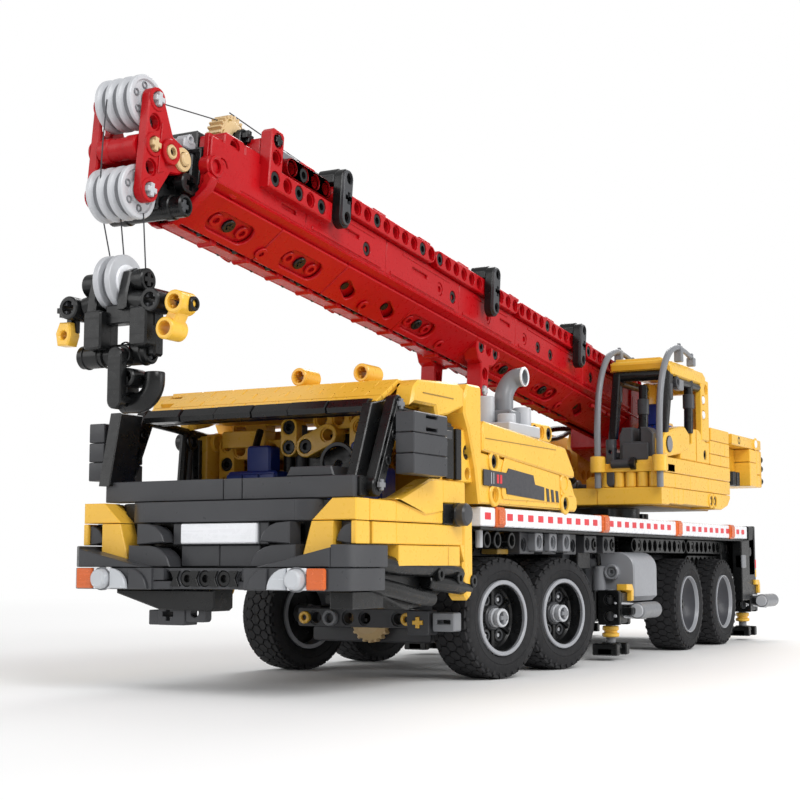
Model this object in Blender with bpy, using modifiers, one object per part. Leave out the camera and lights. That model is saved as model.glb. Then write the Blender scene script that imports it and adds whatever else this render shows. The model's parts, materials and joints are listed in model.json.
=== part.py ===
"""Toy crane truck: an eight-wheel mobile crane built from studless beams.

Metres, +Z up.  The truck faces -Y and +X is its left side.  Sizes and places are in
millimetres and every shape builder multiplies them by MM.  Y is measured from near the
middle of the wheelbase; the last step moves the whole truck along Y, so that the origin
lies on the ground under the middle of its bounds.
"""
import math

import bmesh
import bpy
from mathutils import Matrix, Vector

MM = 0.001

# ---- driving dimensions ----------------------------------------------------
PITCH = 8.0                       # beam hole pitch, also the nominal beam width
HALF_W = 60.0                     # half width of the carrier
SIDE_INNER_X = HALF_W - PITCH     # inner face of a beam flush with the carrier's side
FRONT_Y = -276.0                  # front bumper face
CAB_REAR_Y = -175.4               # rear face of the driver's cab
FRAME_REAR_Y = 201.4              # rear end of the chassis spine and side rails
SHIFT_Y = 48.7                    # final move of the whole truck along Y

TYRE_R = 24.75
RIM_R = 15.2
KINGPIN_X = 33.0
WHEEL_OFFSET = 16.5               # kingpin to the wheel's middle plane
STEER_DEG = 14.0                  # steering angle the front wheels rest at
FRONT_AXLES_Y = (-145.3, -81.3)   # steered
REAR_AXLES_Y = (88.0, 152.0)

JACK_X = 52.0
JACK_Y = {"front": -15.0, "rear": 212.0}

SLEW_Y = 96.0                     # turntable axis
TURRET_Z = 77.6                   # underside of the turret
WINCH_Y, WINCH_Z = 186.0, 112.0

PIVOT_Y, PIVOT_Z = 148.0, 118.0   # boom foot pin
LUFF_ANGLE = math.radians(6.3)    # boom angle at rest
CYLINDER_Y, CYLINDER_Z = 62.0, 88.0   # luffing cylinder foot pin
# On the boom, s runs from the foot pin towards the head and n is the height above
# the boom line.
BOOM_FRONT_S = 455.0              # front end of the boom shell
LUG_S, LUG_N = 229.0, -15.6       # luffing rod pin
HEAD_S = 478.8                    # sheave axles
HEAD_TOP_N = 31.3                 # upper sheave axle
HEAD_MID_N = HEAD_TOP_N - 2 * PITCH
HEAD_LOW_N = HEAD_TOP_N - 4 * PITCH   # lower sheave axle
SHEAVE_R = 9.2

HOOK_Y = -328.2                   # plane the hook block hangs in
HOOK_SHEAVE_Z = 139.6
HOOK_TUBE_Z = 115.4               # cross tube that carries the hook
HOOK_EYE_Z = 98.8                 # lower end of the hook's shank

SIDES = ((1, "left"), (-1, "right"))

COLOURS = {  # base colour, roughness
    "yellow": ((0.80, 0.50, 0.07), 0.35),
    "dark_grey": ((0.09, 0.09, 0.09), 0.4),
    "black": ((0.012, 0.012, 0.012), 0.4),
    "red": ((0.48, 0.008, 0.012), 0.3),
    "light_grey": ((0.45, 0.45, 0.46), 0.4),
    "mid_grey": ((0.24, 0.24, 0.25), 0.4),
    "white": ((0.78, 0.80, 0.82), 0.35),
    "tyre": ((0.02, 0.02, 0.02), 0.75),
}

# ---- clean start -----------------------------------------------------------
for old_object in list(bpy.data.objects):
    bpy.data.objects.remove(old_object, do_unlink=True)
for old_collection in list(bpy.data.collections):
    bpy.data.collections.remove(old_collection)

TRUCK = bpy.data.collections.new("toy_crane_truck")
CUTTERS = bpy.data.collections.new("cutters")
bpy.context.scene.collection.children.link(TRUCK)
bpy.context.scene.collection.children.link(CUTTERS)


# ---- flat point lists ------------------------------------------------------
def arc(centre_u, centre_v, radius, degrees):
    return [(centre_u + radius * math.cos(math.radians(angle)),
             centre_v + radius * math.sin(math.radians(angle))) for angle in degrees]


def upright_slot(u, low_v, high_v, radius):
    """Beam outline: a slot shape between two end hole centres, one above the other."""
    return (arc(u, high_v, radius, range(0, 181, 30))
            + arc(u, low_v, radius, range(180, 361, 30)))


def mirrored(half):
    """Closed section from its +X half, listed from the bottom up."""
    other = [(-x, n) for x, n in half]
    return other[:1] + half + other[:0:-1]


def span(side, inner, outer):
    """Low and high X of a slab that lies inner to outer from the middle plane."""
    return sorted((side * inner, side * outer))


# ---- shapes: each returns a bmesh in metres --------------------------------
def transformed(shape, matrix):
    bmesh.ops.transform(shape, matrix=matrix, verts=shape.verts)
    return shape


def box(x0, x1, y0, y1, z0, z1):
    shape = bmesh.new()
    bmesh.ops.create_cube(shape, size=1.0)
    size = Vector((x1 - x0, y1 - y0, z1 - z0)) * MM
    centre = Vector((x0 + x1, y0 + y1, z0 + z1)) * 0.5 * MM
    return transformed(shape, Matrix.Translation(centre) @ Matrix.Diagonal((*size, 1.0)))


def mid_box(half_x, y0, y1, z0, z1):
    """Box centred on the truck's middle plane."""
    return box(-half_x, half_x, y0, y1, z0, z1)


# turns local Z onto each axis
AXIS_TURN = {
    "X": Matrix.Rotation(math.radians(90), 4, "Y"),
    "Y": Matrix.Rotation(math.radians(-90), 4, "X"),
    "Z": Matrix.Identity(4),
}


def cylinder(x, y, z, radius, length, axis, segments):
    """Cylinder centred on (x, y, z) along an axis."""
    shape = bmesh.new()
    bmesh.ops.create_cone(shape, cap_ends=True, cap_tris=False, segments=segments,
                          radius1=radius * MM, radius2=radius * MM, depth=length * MM)
    return transformed(shape, Matrix.Translation(Vector((x, y, z)) * MM) @ AXIS_TURN[axis])


def evaluated_curve(curve, points, cyclic):
    """Add one straight-sided spline to the curve and turn the result into a bmesh."""
    spline = curve.splines.new("POLY")
    spline.points.add(len(points) - 1)
    for target, (x, y, z) in zip(spline.points, points):
        target.co = (x * MM, y * MM, z * MM, 1.0)
    spline.use_cyclic_u = cyclic
    holder = bpy.data.objects.new(curve.name, curve)
    bpy.context.scene.collection.objects.link(holder)
    depsgraph = bpy.context.evaluated_depsgraph_get()
    mesh = bpy.data.meshes.new_from_object(holder.evaluated_get(depsgraph))
    bpy.data.objects.remove(holder, do_unlink=True)
    bpy.data.curves.remove(curve)
    shape = bmesh.new()
    shape.from_mesh(mesh)
    bpy.data.meshes.remove(mesh)
    bmesh.ops.remove_doubles(shape, verts=shape.verts, dist=1e-6)
    return shape


# rotation rows that lay a flat outline in a plane, and the index of the plane's normal
PLANES = {
    "YZ": (((0, 0, 1), (1, 0, 0), (0, 1, 0)), 0),
    "XZ": (((1, 0, 0), (0, 0, -1), (0, 1, 0)), 1),
    "XY": (((1, 0, 0), (0, 1, 0), (0, 0, 1)), 2),
}


def outline(points, low, high, plane="YZ"):
    """Filled outline in a plane, extruded from low to high along the plane's normal."""
    curve = bpy.data.curves.new("outline", "CURVE")
    curve.dimensions = "2D"
    curve.fill_mode = "BOTH"
    curve.extrude = (high - low) * 0.5 * MM
    shape = evaluated_curve(curve, [(u, v, 0.0) for u, v in points], cyclic=True)
    rows, normal = PLANES[plane]
    matrix = Matrix(rows).to_4x4()
    matrix[normal][3] = (low + high) * 0.5 * MM
    transformed(shape, matrix)
    bmesh.ops.recalc_face_normals(shape, faces=shape.faces)
    return shape


def outline_pair(points, inner, outer):
    """The same YZ outline on the left and on the right."""
    return [outline(points, *span(side, inner, outer)) for side, _ in SIDES]


def tube(points, radius):
    """Round pipe along a list of points, with filled ends."""
    curve = bpy.data.curves.new("tube", "CURVE")
    curve.dimensions = "3D"
    curve.bevel_depth = radius * MM
    curve.bevel_resolution = 2
    curve.use_fill_caps = True
    shape = evaluated_curve(curve, points, cyclic=False)
    bmesh.ops.recalc_face_normals(shape, faces=shape.faces)
    return shape


# ---- objects ---------------------------------------------------------------
def material(piece_name, colour):
    rgb, roughness = COLOURS[colour]
    result = bpy.data.materials.new(piece_name + "_" + colour)
    result.use_nodes = True
    shader = result.node_tree.nodes["Principled BSDF"]
    shader.inputs["Base Color"].default_value = (*rgb, 1.0)
    shader.inputs["Roughness"].default_value = roughness
    shader.inputs["Metallic"].default_value = 0.0
    return result


def mesh_object(name, shape, collection, origin):
    offset = Vector(origin) * MM
    transformed(shape, Matrix.Translation(-offset))
    mesh = bpy.data.meshes.new(name)
    shape.to_mesh(mesh)
    shape.free()
    result = bpy.data.objects.new(name, mesh)
    result.location = offset
    collection.objects.link(result)
    return result


def piece(name, colour, adds, cuts=(), late=(), origin=(0, 0, 0)):
    """One named piece: shapes joined, then cut, then pins added across the cuts."""
    body = mesh_object(name, adds[0], TRUCK, origin)
    for operation, tag, shapes in (("UNION", "add", adds[1:]),
                                   ("DIFFERENCE", "cut", cuts),
                                   ("UNION", "late", late)):
        for i, shape in enumerate(shapes):
            helper = mesh_object("%s_%s%d" % (name, tag, i), shape, CUTTERS, origin)
            helper.hide_render = True
            helper.display_type = "WIRE"
            modifier = body.modifiers.new(operation.lower(), "BOOLEAN")
            modifier.operation = operation
            modifier.solver = "EXACT"
            modifier.object = helper
    body.data.materials.append(material(name, colour))
    body.data.shade_smooth()
    body.data.set_sharp_from_angle(angle=math.radians(35))


def turned_piece(name, colour, profile, matrix, steps):
    """Turned piece: a closed profile of (radius, height) about local Z."""
    mesh = bpy.data.meshes.new(name)
    shape = bmesh.new()
    verts = [shape.verts.new((radius * MM, 0.0, height * MM)) for radius, height in profile]
    for i, vert in enumerate(verts):
        shape.edges.new((vert, verts[(i + 1) % len(verts)]))
    shape.to_mesh(mesh)
    shape.free()
    body = bpy.data.objects.new(name, mesh)
    TRUCK.objects.link(body)
    screw = body.modifiers.new("screw", "SCREW")
    screw.steps = steps
    screw.render_steps = steps
    screw.use_merge_vertices = True
    screw.merge_threshold = 0.00001
    screw.use_smooth_shade = True
    body.matrix_world = matrix
    mesh.materials.append(material(name, colour))


# ============================================================================
# carrier
# ============================================================================
def chassis_frame():
    pad_half_y = 36.0
    piece("chassis_frame", "black",
          [mid_box(20, -260.5, FRAME_REAR_Y, 34.0, 53.4),      # spine
           mid_box(20, -175.0, FRAME_REAR_Y, 50.0, 61.0),      # upper spine behind the cab
           mid_box(51, -75.8, 200, 60.0, 66.0),                # deck
           mid_box(27, SLEW_Y - pad_half_y, SLEW_Y + pad_half_y, 65.0, 69.0),
           mid_box(50.5, 176, 200.4, 40.0, 60.5),              # rear cross web
           mid_box(48, -46, -30, 44.0, 60.5)],                 # front cross web
          [mid_box(12, -240, -170, 33.0, 50.0)])               # slot under the cab


def front_axle_carrier():
    """Both steered axles hang on one carrier; its ears stop short of the tyres."""
    ear_x = 28.9
    end_margin = 17.0
    front, rear = FRONT_AXLES_Y
    shapes = [mid_box(14, front - end_margin, rear + end_margin, 14.2, 33.7)]
    for y in FRONT_AXLES_Y:
        shapes += [mid_box(ear_x, y - 14.5, y + 14.5, 14.0, 20.4),
                   mid_box(ear_x, y - 5.0, y + 5.0, 29.0, 33.6)]
    piece("front_axle_carrier", "dark_grey", shapes)


def rear_axle_carrier():
    shapes = [mid_box(22, 70.0, 170.0, 16.0, 33.7)]
    shapes += [mid_box(33, y - 6, y + 6, 18.5, 31.0) for y in REAR_AXLES_Y]
    # axle stubs
    shapes += [cylinder(side * 42.0, y, TYRE_R, 2.35, 26.0, "X", 16)
               for y in REAR_AXLES_Y for side in (-1, 1)]
    piece("rear_axle_carrier", "dark_grey", shapes)


def front_bumper():
    """Bumper, U-shaped in plan, with chamfered corners and a second row at each end."""
    lower_z = (37.4, 45.2)
    lower_row = [  # x, y
        (-HALF_W, -246.0), (-HALF_W, -271.0), (-58.6, -274.6), (-55.0, FRONT_Y),
        (55.0, FRONT_Y), (58.6, -274.6), (HALF_W, -271.0), (HALF_W, -246.0),
        (SIDE_INNER_X, -246.0), (SIDE_INNER_X, -265.0),
        (-SIDE_INNER_X, -265.0), (-SIDE_INNER_X, -246.0)]
    upper_corner = [  # x, y of the left one
        (HALF_W, -250.0), (HALF_W, -272.0), (56.0, -275.6), (44.0, -275.6),
        (44.0, -265.0), (SIDE_INNER_X, -265.0), (SIDE_INNER_X, -250.0)]
    shapes = [outline(lower_row, *lower_z, "XY")]
    for side in (-1, 1):
        shapes.append(outline([(side * x, y) for x, y in upper_corner], 45.0, 53.2, "XY"))
    shapes += [mid_box(SIDE_INNER_X, -265.5, -261.0, *lower_z),   # inner backing strip
               # stepped block below the bumper, right of the middle
               box(-25.0, -13.0, -272.0, -264.0, 24.6, 32.6),
               box(-14.0, -4.0, -271.5, -267.5, 25.8, 35.0),
               box(-24.0, -6.0, -271.0, -262.0, 31.6, 38.4)]
    holes = [cylinder(-9.0, -269.5, 29.0, 1.7, 12.0, "Y", 12)]
    holes += [cylinder(x, -270.0, 41.3, 2.4, 20.0, "Y", 12) for x in (-20, -12, 0, 12, 20)]
    piece("front_bumper", "dark_grey", shapes, holes)


def front_panel():
    ledge = [  # x, y
        (-55.5, -256.0), (-54.0, -264.0), (-46.0, -267.4), (46.0, -267.4), (54.0, -264.0),
        (55.5, -256.0), (50.0, -256.0), (48.0, -259.0), (-48.0, -259.0), (-50.0, -256.0)]
    piece("front_panel", "dark_grey",
          [mid_box(43.6, -271.5, -262.6, 45.6, 69.6),
           outline(ledge, 69.4, 77.4, "XY"),
           mid_box(24.0, -274.2, -271.0, 45.6, 69.2)])         # raised middle


def cab_body():
    """Floor, sills with arch cut-outs, door posts and rear wall."""
    sill = [  # y, z
        (-275.0, 53.5), (-275.0, 69.2), (-246.0, 69.2), (-221.0, 77.4), (-191.0, 77.4),
        (-191.0, 60.0), (-183.0, 60.0), (-183.0, 36.0), (-185.0, 32.8), (-189.0, 32.8),
        (-191.4, 36.0), (-191.4, 45.6), (-243.0, 45.6), (-243.0, 53.5)]
    post = [  # y, z
        (-191.5, 58.0), (-191.5, 94.0), (-205.0, 98.4), (-205.0, 104.4),
        (CAB_REAR_Y, 107.6), (CAB_REAR_Y, 58.0)]
    shapes = [mid_box(59.0, -246.0, -184.0, 53.8, 58.0)]       # floor
    for side in (-1, 1):
        side_x = span(side, SIDE_INNER_X, HALF_W)
        shapes += [outline(sill, *side_x),
                   outline(post, *side_x),
                   box(*span(side, 44.2, 54.0), -275.0, -267.8, 53.6, 69.2)]   # front block
    # rear wall, below and above the window
    shapes += [mid_box(53.0, -183.2, CAB_REAR_Y, z0, z1) for z0, z1 in ((53.8, 80.0), (97.0, 104.0))]
    holes = [cylinder(side * 56.0, -187.0, z, 2.4, 12.0, "X", 12)
             for side in (-1, 1) for z in (82.0, 90.0)]
    piece("cab_body", "yellow", shapes, holes)


def cab_roof():
    section = [  # y, z
        (-243.0, 100.4), (-243.0, 104.0), (-234.0, 113.0), (-226.0, 114.8), (-179.0, 116.4),
        (CAB_REAR_Y, 113.0), (CAB_REAR_Y, 108.3), (-205.0, 105.1), (-236.0, 104.8),
        (-240.0, 100.4)]
    studs = [cylinder(x, -216.0, 117.0, 3.7, 8.0, "Z", 16) for x in (-14.0, 14.0)]
    piece("cab_roof", "yellow", [outline(section, -HALF_W, HALF_W)] + studs)


def windscreen_frame():
    # y, z
    pillar = [(-268.0, 77.8), (-251.5, 104.6), (-244.0, 104.6), (-244.0, 99.9),
              (-239.0, 99.9), (-246.5, 77.8)]
    top_bar = [(-255.0, 98.0), (-251.5, 104.6), (-244.0, 104.6), (-244.0, 98.0)]
    bottom_bar = [(-268.0, 77.8), (-266.2, 80.6), (-256.0, 80.6), (-256.0, 77.8)]
    piece("windscreen_frame", "black",
          outline_pair(pillar, 46.0, 57.0)
          + [outline(bar, -50.0, 50.0) for bar in (top_bar, bottom_bar)])


def mirrors():
    for side, side_name in SIDES:
        piece("mirror_" + side_name, "dark_grey",
              [box(*span(side, 60.5, 68.5), -243.5, -222.0, 78.5, 101.0),
               box(*span(side, 57.3, 61.5), -243.5, -240.0, 84.0, 88.0)])      # bracket


def engine_cover():
    """Hollow hood with a sloped top, a cut rear corner and an opening in the top."""
    # y, z
    hood = [(-174.9, 70.0), (-174.9, 102.0), (-90.0, 96.6), (-81.0, 88.0), (-79.5, 78.0),
            (-76.5, 70.0)]
    hollow = [(-170.9, 60.0), (-170.9, 98.0), (-92.0, 92.6), (-85.0, 86.0), (-84.0, 60.0)]
    piece("engine_cover", "yellow", [outline(hood, -HALF_W, HALF_W)],
          [outline(hollow, -55.0, 55.0), mid_box(20.0, -150.0, -96.0, 88.0, 110.0)])


def exhaust_pipe():
    """Upright pipe whose top bends rearwards and is bored out at the mouth."""
    x, y = 46.0, -124.0
    bend_z = 116.0                     # start of the bend
    bend_length, bend_height = 14.0, 11.0
    mouth_z = bend_z + bend_height
    path = [(x, y, 99.3), (x, y, bend_z)]
    for i in range(1, 9):
        angle = math.radians(90.0 * i / 8)
        path.append((x, y + bend_length * (1 - math.cos(angle)),
                     bend_z + bend_height * math.sin(angle)))
    path.append((x, -104.0, mouth_z))
    piece("exhaust_pipe", "mid_grey",
          [tube(path, 4.3), box(38.5, 53.5, -132.0, -112.0, 101.2, 106.8)],
          [tube([(x, -106.5, mouth_z), (x, -100.0, mouth_z)], 2.9)])


def side_rails():
    for side, side_name in SIDES:
        piece("side_rail_" + side_name, "white",
              [box(*span(side, 51.4, 59.5), -175.1, FRAME_REAR_Y, 61.5, 69.5)])


def fuel_tank():
    inner_x, edge_r, edge_z = 24.0, 8.0, 44.7     # rounded upper outer edge
    section = [(inner_x, 28.0), (58.0, 28.0), (HALF_W, 30.0)]   # x, z
    section += arc(HALF_W - edge_r, edge_z, edge_r, (0, 22.5, 45, 67.5, 90))
    section.append((inner_x, edge_z + edge_r))
    piece("fuel_tank", "light_grey",
          [outline(section, 2.0, 32.0, "XZ"),
           cylinder(50.0, 0.5, 41.0, 5.5, 6.0, "Y", 16)])      # round boss on the front


def rear_bumper():
    half_x, rear_y = 56.0, 214.0
    piece("rear_bumper", "black",
          [mid_box(half_x, 201.8, rear_y, 38.7, 69.2),
           mid_box(half_x, rear_y - 1, 216.6, 56.0, 66.0)],
          [mid_box(30.0, 198.0, 220.0, 46.0, 54.0)])


def outrigger_boxes():
    for place, y in JACK_Y.items():
        piece("outrigger_box_" + place, "black",
              [mid_box(44.0, y - 9.0, y + 9.0, 18.0, 33.6)],
              [mid_box(46.0, y - 4.4, y + 4.4, 21.0, 30.0)])


def turntable_ring():
    """Fixed half of the turntable, with drive teeth round its edge."""
    tooth_count = 28
    tooth_corners = ((-0.25, 26.0), (0.25, 28.0))   # place in the tooth pitch, radius
    edge = []
    for i in range(tooth_count):
        for place, radius in tooth_corners:
            angle = 2 * math.pi * (i + place) / tooth_count
            edge.append((radius * math.cos(angle), SLEW_Y + radius * math.sin(angle)))
    piece("turntable_ring", "black",
          [outline(edge, 69.3, 74.0, "XY"), cylinder(0, SLEW_Y, 75.5, 24.0, 3.6, "Z", 40)],
          [cylinder(0, SLEW_Y, 73.0, 14.0, 12.0, "Z", 32)])


# ============================================================================
# wheels, steering and outriggers
# ============================================================================
# radius, height; height is measured outwards from the wheel's middle plane
TYRE_BORE_R = RIM_R + 0.3
TYRE_PROFILE = [
    (20.5, 10.0), (23.4, 9.0), (TYRE_R, 6.4), (TYRE_R, -6.4), (23.4, -9.0), (20.5, -10.0),
    (TYRE_BORE_R, -8.6), (TYRE_BORE_R, 8.6)]
RIM_PROFILE = [
    (RIM_R, 9.0), (RIM_R, -9.0), (13.2, -9.0), (13.2, 1.5), (5.2, 1.5), (5.2, -6.0),
    (2.4, -6.0), (2.4, 4.5), (13.2, 4.5), (13.2, 9.0)]


def knuckle(name, kingpin, turn, side):
    """Kingpin block with a stub axle outwards and a steering arm rearwards."""
    bottom_z = 20.9 - TYRE_R
    placed = Matrix.Translation(kingpin * MM) @ turn
    outwards = placed @ Matrix.Rotation(0.0 if side > 0 else math.pi, 4, "Z")
    block = box(-3.0, 3.0, -4.0, 4.0, bottom_z, 28.5 - TYRE_R)
    stub = cylinder(6.0, 0, 0, 2.34, 16.0, "X", 16)
    arm = box(-3.0, 3.0, 3.0, 11.5, bottom_z, 24.0 - TYRE_R)
    piece(name, "dark_grey",
          [transformed(block, outwards), transformed(stub, outwards), transformed(arm, placed)],
          origin=tuple(kingpin))


def wheels():
    for number, axle_y in enumerate(FRONT_AXLES_Y + REAR_AXLES_Y, start=1):
        steered = axle_y in FRONT_AXLES_Y
        turn = Matrix.Rotation(math.radians(-STEER_DEG if steered else 0.0), 4, "Z")
        for side, side_name in SIDES:
            suffix = "_%d_%s" % (number, side_name)
            kingpin = Vector((side * KINGPIN_X, axle_y, TYRE_R))
            centre = kingpin + turn @ Vector((side * WHEEL_OFFSET, 0, 0))
            # local Z points out of the wheel's outer face
            facing = Matrix.Rotation(math.radians(90 * side), 4, "Y")
            placed = Matrix.Translation(centre * MM) @ turn @ facing
            turned_piece("tyre" + suffix, "tyre", TYRE_PROFILE, placed, 28)
            turned_piece("rim" + suffix, "light_grey", RIM_PROFILE, placed, 20)
            if steered:
                knuckle("knuckle" + suffix, kingpin, turn, side)


def outrigger_beam(suffix, side, y):
    x = side * JACK_X
    piece("outrigger_beam" + suffix, "black",
          [box(*span(side, 8.0, 62.0), y - 4.0, y + 4.0, 21.4, 29.6),
           box(*span(side, 44.6, HALF_W), y - 8.0, y + 8.0, 17.0, 34.0),   # leg housing
           cylinder(side * 65.4, y, 24.0, 3.9, 24.0, "Y", 20)],            # end tube
          [cylinder(x, y, 24.0, 2.8, 40.0, "Z", 16)],
          origin=(x, y, 25.5))


def jack_leg(suffix, side, y):
    x = side * JACK_X
    piece("jack_leg" + suffix, "mid_grey",
          [cylinder(x, y, 21.0, 2.5, 27.0, "Z", 16),
           box(x - 6.0, x + 6.0, y - 9.0, y + 9.0, 2.6, 8.6)],             # foot
          origin=(x, y, 10.0))


def outriggers():
    for place, y in JACK_Y.items():
        for side, side_name in SIDES:
            suffix = "_%s_%s" % (place, side_name)
            outrigger_beam(suffix, side, y)
            jack_leg(suffix, side, y)


# ============================================================================
# superstructure
# ============================================================================
def turret_frame():
    # y, z
    base = [(41.5, TURRET_Z), (41.5, 99.6), (168.0, 99.6), (168.0, 84.0), (160.0, TURRET_Z)]
    cheek = [(127.0, 118.0), (134.0, 126.0), (152.0, 130.0), (164.0, 122.0),
             (205.9, 117.6), (205.9, 98.2), (167.0, 90.0), (127.0, 90.0)]
    piece("turret_frame", "yellow",
          [outline(base, -52.0, HALF_W)]
          + outline_pair(cheek, 21.6, 29.0)
          + [mid_box(29.4, 196.0, 206.0, 98.5, 117.0),         # rear cross wall
             box(-51.0, -27.0, 62.0, 160.0, 98.0, 112.0)],     # raised block on the right
          [mid_box(12.0, 38.0, 132.0, 80.0, 110.0)],           # luffing cylinder well
          late=[cylinder(0, PIVOT_Y, PIVOT_Z, 3.6, 56.0, "X", 20),
                cylinder(0, CYLINDER_Y, CYLINDER_Z, 2.4, 40.0, "X", 16),
                cylinder(0, WINCH_Y, WINCH_Z, 2.44, 50.0, "X", 16)])


def operator_cab():
    """One block on the left, opened sideways, to the front and through the inside."""
    # y, z
    shell = [(43.0, 100.0), (43.0, 114.0), (48.0, 150.0), (62.0, 156.8), (124.0, 153.4),
             (126.0, 150.0), (126.0, 100.0)]
    window = [(48.0, 114.0), (52.6, 148.0), (62.0, 151.0), (104.0, 148.4), (104.0, 114.0)]
    inside_x = (28.0, 56.4)
    piece("operator_cab", "yellow", [outline(shell, 24.4, HALF_W)],
          [outline(window, 20.0, 70.0),
           box(*inside_x, 38.0, 100.0, 112.0, 147.5),          # front opening
           box(*inside_x, 50.0, 121.0, 103.5, 150.5)])         # interior


def counterweight():
    corner_r = 5.0
    corner_x = HALF_W - corner_r
    front_y, rear_y = 206.4 + corner_r, 240.0 - corner_r
    plan = []
    for x, y, start in ((corner_x, rear_y, 0), (-corner_x, rear_y, 90),
                        (-corner_x, front_y, 180), (corner_x, front_y, 270)):
        plan += arc(x, y, corner_r, range(start, start + 91, 30))
    piece("counterweight", "yellow", [outline(plan, 94.6, 124.6, "XY")],
          [mid_box(36.0, 203.0, 214.0, 92.0, 104.0)])


def cross_axle_matrix(y, z):
    """Frame on the middle plane whose local Z points along +X."""
    return Matrix.Translation(Vector((0, y, z)) * MM) @ AXIS_TURN["X"]


def winch_drum():
    profile = [(9.0, 18.0), (9.0, 15.5), (6.0, 15.5), (6.0, -15.5), (9.0, -15.5),
               (9.0, -18.0), (2.5, -18.0), (2.5, 18.0)]        # radius, height
    turned_piece("winch_drum", "dark_grey", profile, cross_axle_matrix(WINCH_Y, WINCH_Z), 28)


# ============================================================================
# boom
# ============================================================================
def boom_point(s, n):
    """Y and Z of a place on the boom."""
    return (PIVOT_Y - s * math.cos(LUFF_ANGLE) + n * math.sin(LUFF_ANGLE),
            PIVOT_Z + s * math.sin(LUFF_ANGLE) + n * math.cos(LUFF_ANGLE))


def on_boom(points):
    return [boom_point(s, n) for s, n in points]


# takes local (x, n, s) to the truck's frame
BOOM_FRAME = Matrix((
    (1, 0, 0, 0),
    (0, math.sin(LUFF_ANGLE), -math.cos(LUFF_ANGLE), PIVOT_Y * MM),
    (0, math.cos(LUFF_ANGLE), math.sin(LUFF_ANGLE), PIVOT_Z * MM),
    (0, 0, 0, 1)))


def boom_sweep(section, start_s, end_s):
    """Cross-section of (x, n) points swept along the boom."""
    return transformed(outline(section, start_s, end_s, "XY"), BOOM_FRAME)


def boom_box(half_x, s0, s1, n0, n1):
    return outline(on_boom([(s0, n0), (s1, n0), (s1, n1), (s0, n1)]), -half_x, half_x)


def boom_pin(s, n, half_x, radius, segments):
    """Cylinder across the boom."""
    return cylinder(0, *boom_point(s, n), radius, 2 * half_x, "X", segments)


def boom_base():
    # shell section: a rounded trough with a narrower upper box, open between two lips
    half_shell = [  # x, n, from the bottom up
        (-2.0, -4.2), (-9.4, -0.4), (-13.8, 3.0), (-17.0, 6.6), (-19.4, 10.4), (-17.4, 12.4),
        (-17.4, 26.8), (-20.0, 27.6), (-20.0, 35.0), (-12.0, 35.0), (-12.0, 31.0)]
    shell = half_shell + [(-x, n) for x, n in reversed(half_shell)]
    hollow = mirrored([(1.4, -1.8), (8.2, 1.8), (12.2, 5.0), (15.1, 8.9), (15.3, 26.0)])
    # s, n
    foot = arc(0.0, 0.0, 12.0, [270 - 22.5 * i for i in range(9)])
    foot += [(38.0, 22.0), (38.0, -9.0)]
    lug = [(LUG_S - 4.4, LUG_N - 4.0), (LUG_S + 4.4, LUG_N - 4.0), (LUG_S + 5.0, 0.0),
           (LUG_S + 10.0, 8.0), (LUG_S - 16.0, 8.0), (LUG_S - 5.0, 0.0)]
    left_angle = [(381.0, 18.2), (424.5, 18.2), (424.5, 41.5), (416.4, 41.5),
                  (416.4, 26.2), (381.0, 26.2)]
    shapes = [boom_sweep(shell, 26.0, BOOM_FRONT_S), outline(on_boom(foot), -18.9, 18.9)]
    shapes += outline_pair(on_boom(lug), 8.2, 16.4)
    shapes.append(outline(on_boom(left_angle), 16.2, 21.4))
    for s in (375.0, 238.0, 130.0):    # short upright beams on both sides
        shapes += outline_pair(on_boom(upright_slot(s, 21.3, 37.7, 3.9)), 18.4, 23.5)
    piece("boom_base", "red", shapes,
          [boom_sweep(hollow, 92.0, BOOM_FRONT_S + 5.0),
           boom_pin(0, 0, 30.0, 3.66, 20),
           boom_pin(LUG_S, LUG_N, 20.0, 2.46, 16),
           boom_box(9.0, -16.0, 20.0, -16.0, 24.0)],           # gap between the foot's ears
          origin=(0, PIVOT_Y, PIVOT_Z))


def boom_inner():
    """Sliding inner section: an open tube with a block and cross tube at its nose."""
    nose_s = 463.6
    # x, n
    section = mirrored([(1.2, -1.1), (7.8, 2.4), (11.7, 5.6), (14.4, 9.3), (14.6, 22.6)])
    bore = mirrored([(0.8, 1.8), (6.6, 5.0), (10.0, 7.8), (11.6, 10.4), (11.6, 19.6)])
    piece("boom_inner", "black",
          [boom_sweep(section, 300.0, 456.6),
           boom_box(7.8, 455.7, 469.0, -3.0, 21.0),
           boom_pin(nose_s, -1.6, 16.0, 3.9, 16)],
          [boom_sweep(bore, 290.0, 450.0)],
          origin=(0, *boom_point(nose_s, 9.0)))


def boom_head():
    """Two triangular plates tied by a cross tube and the two sheave axles."""
    corner_r = 3.9
    plate = arc(HEAD_S, HEAD_TOP_N, corner_r, range(0, 151, 30))      # s, n
    plate += [(467.0, HEAD_MID_N + 5.4), (461.6, HEAD_MID_N + 4.0), (458.9, HEAD_MID_N),
              (461.6, HEAD_MID_N - 4.0), (467.0, HEAD_MID_N - 5.4)]
    plate += arc(HEAD_S, HEAD_LOW_N, corner_r, range(210, 361, 30))
    piece("boom_head", "red",
          outline_pair(on_boom(plate), 8.2, 12.0)
          + [boom_pin(HEAD_S + 1.0, HEAD_MID_N - 0.6, 8.6, 4.3, 20)]
          + [boom_pin(HEAD_S, n, 11.0, 2.3, 16) for n in (HEAD_TOP_N, HEAD_LOW_N)],
          [boom_pin(HEAD_S, HEAD_TOP_N - i * PITCH, 16.0, 2.45, 16) for i in (1, 3)],
          origin=(0, *boom_point(HEAD_S, HEAD_LOW_N)))


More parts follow.
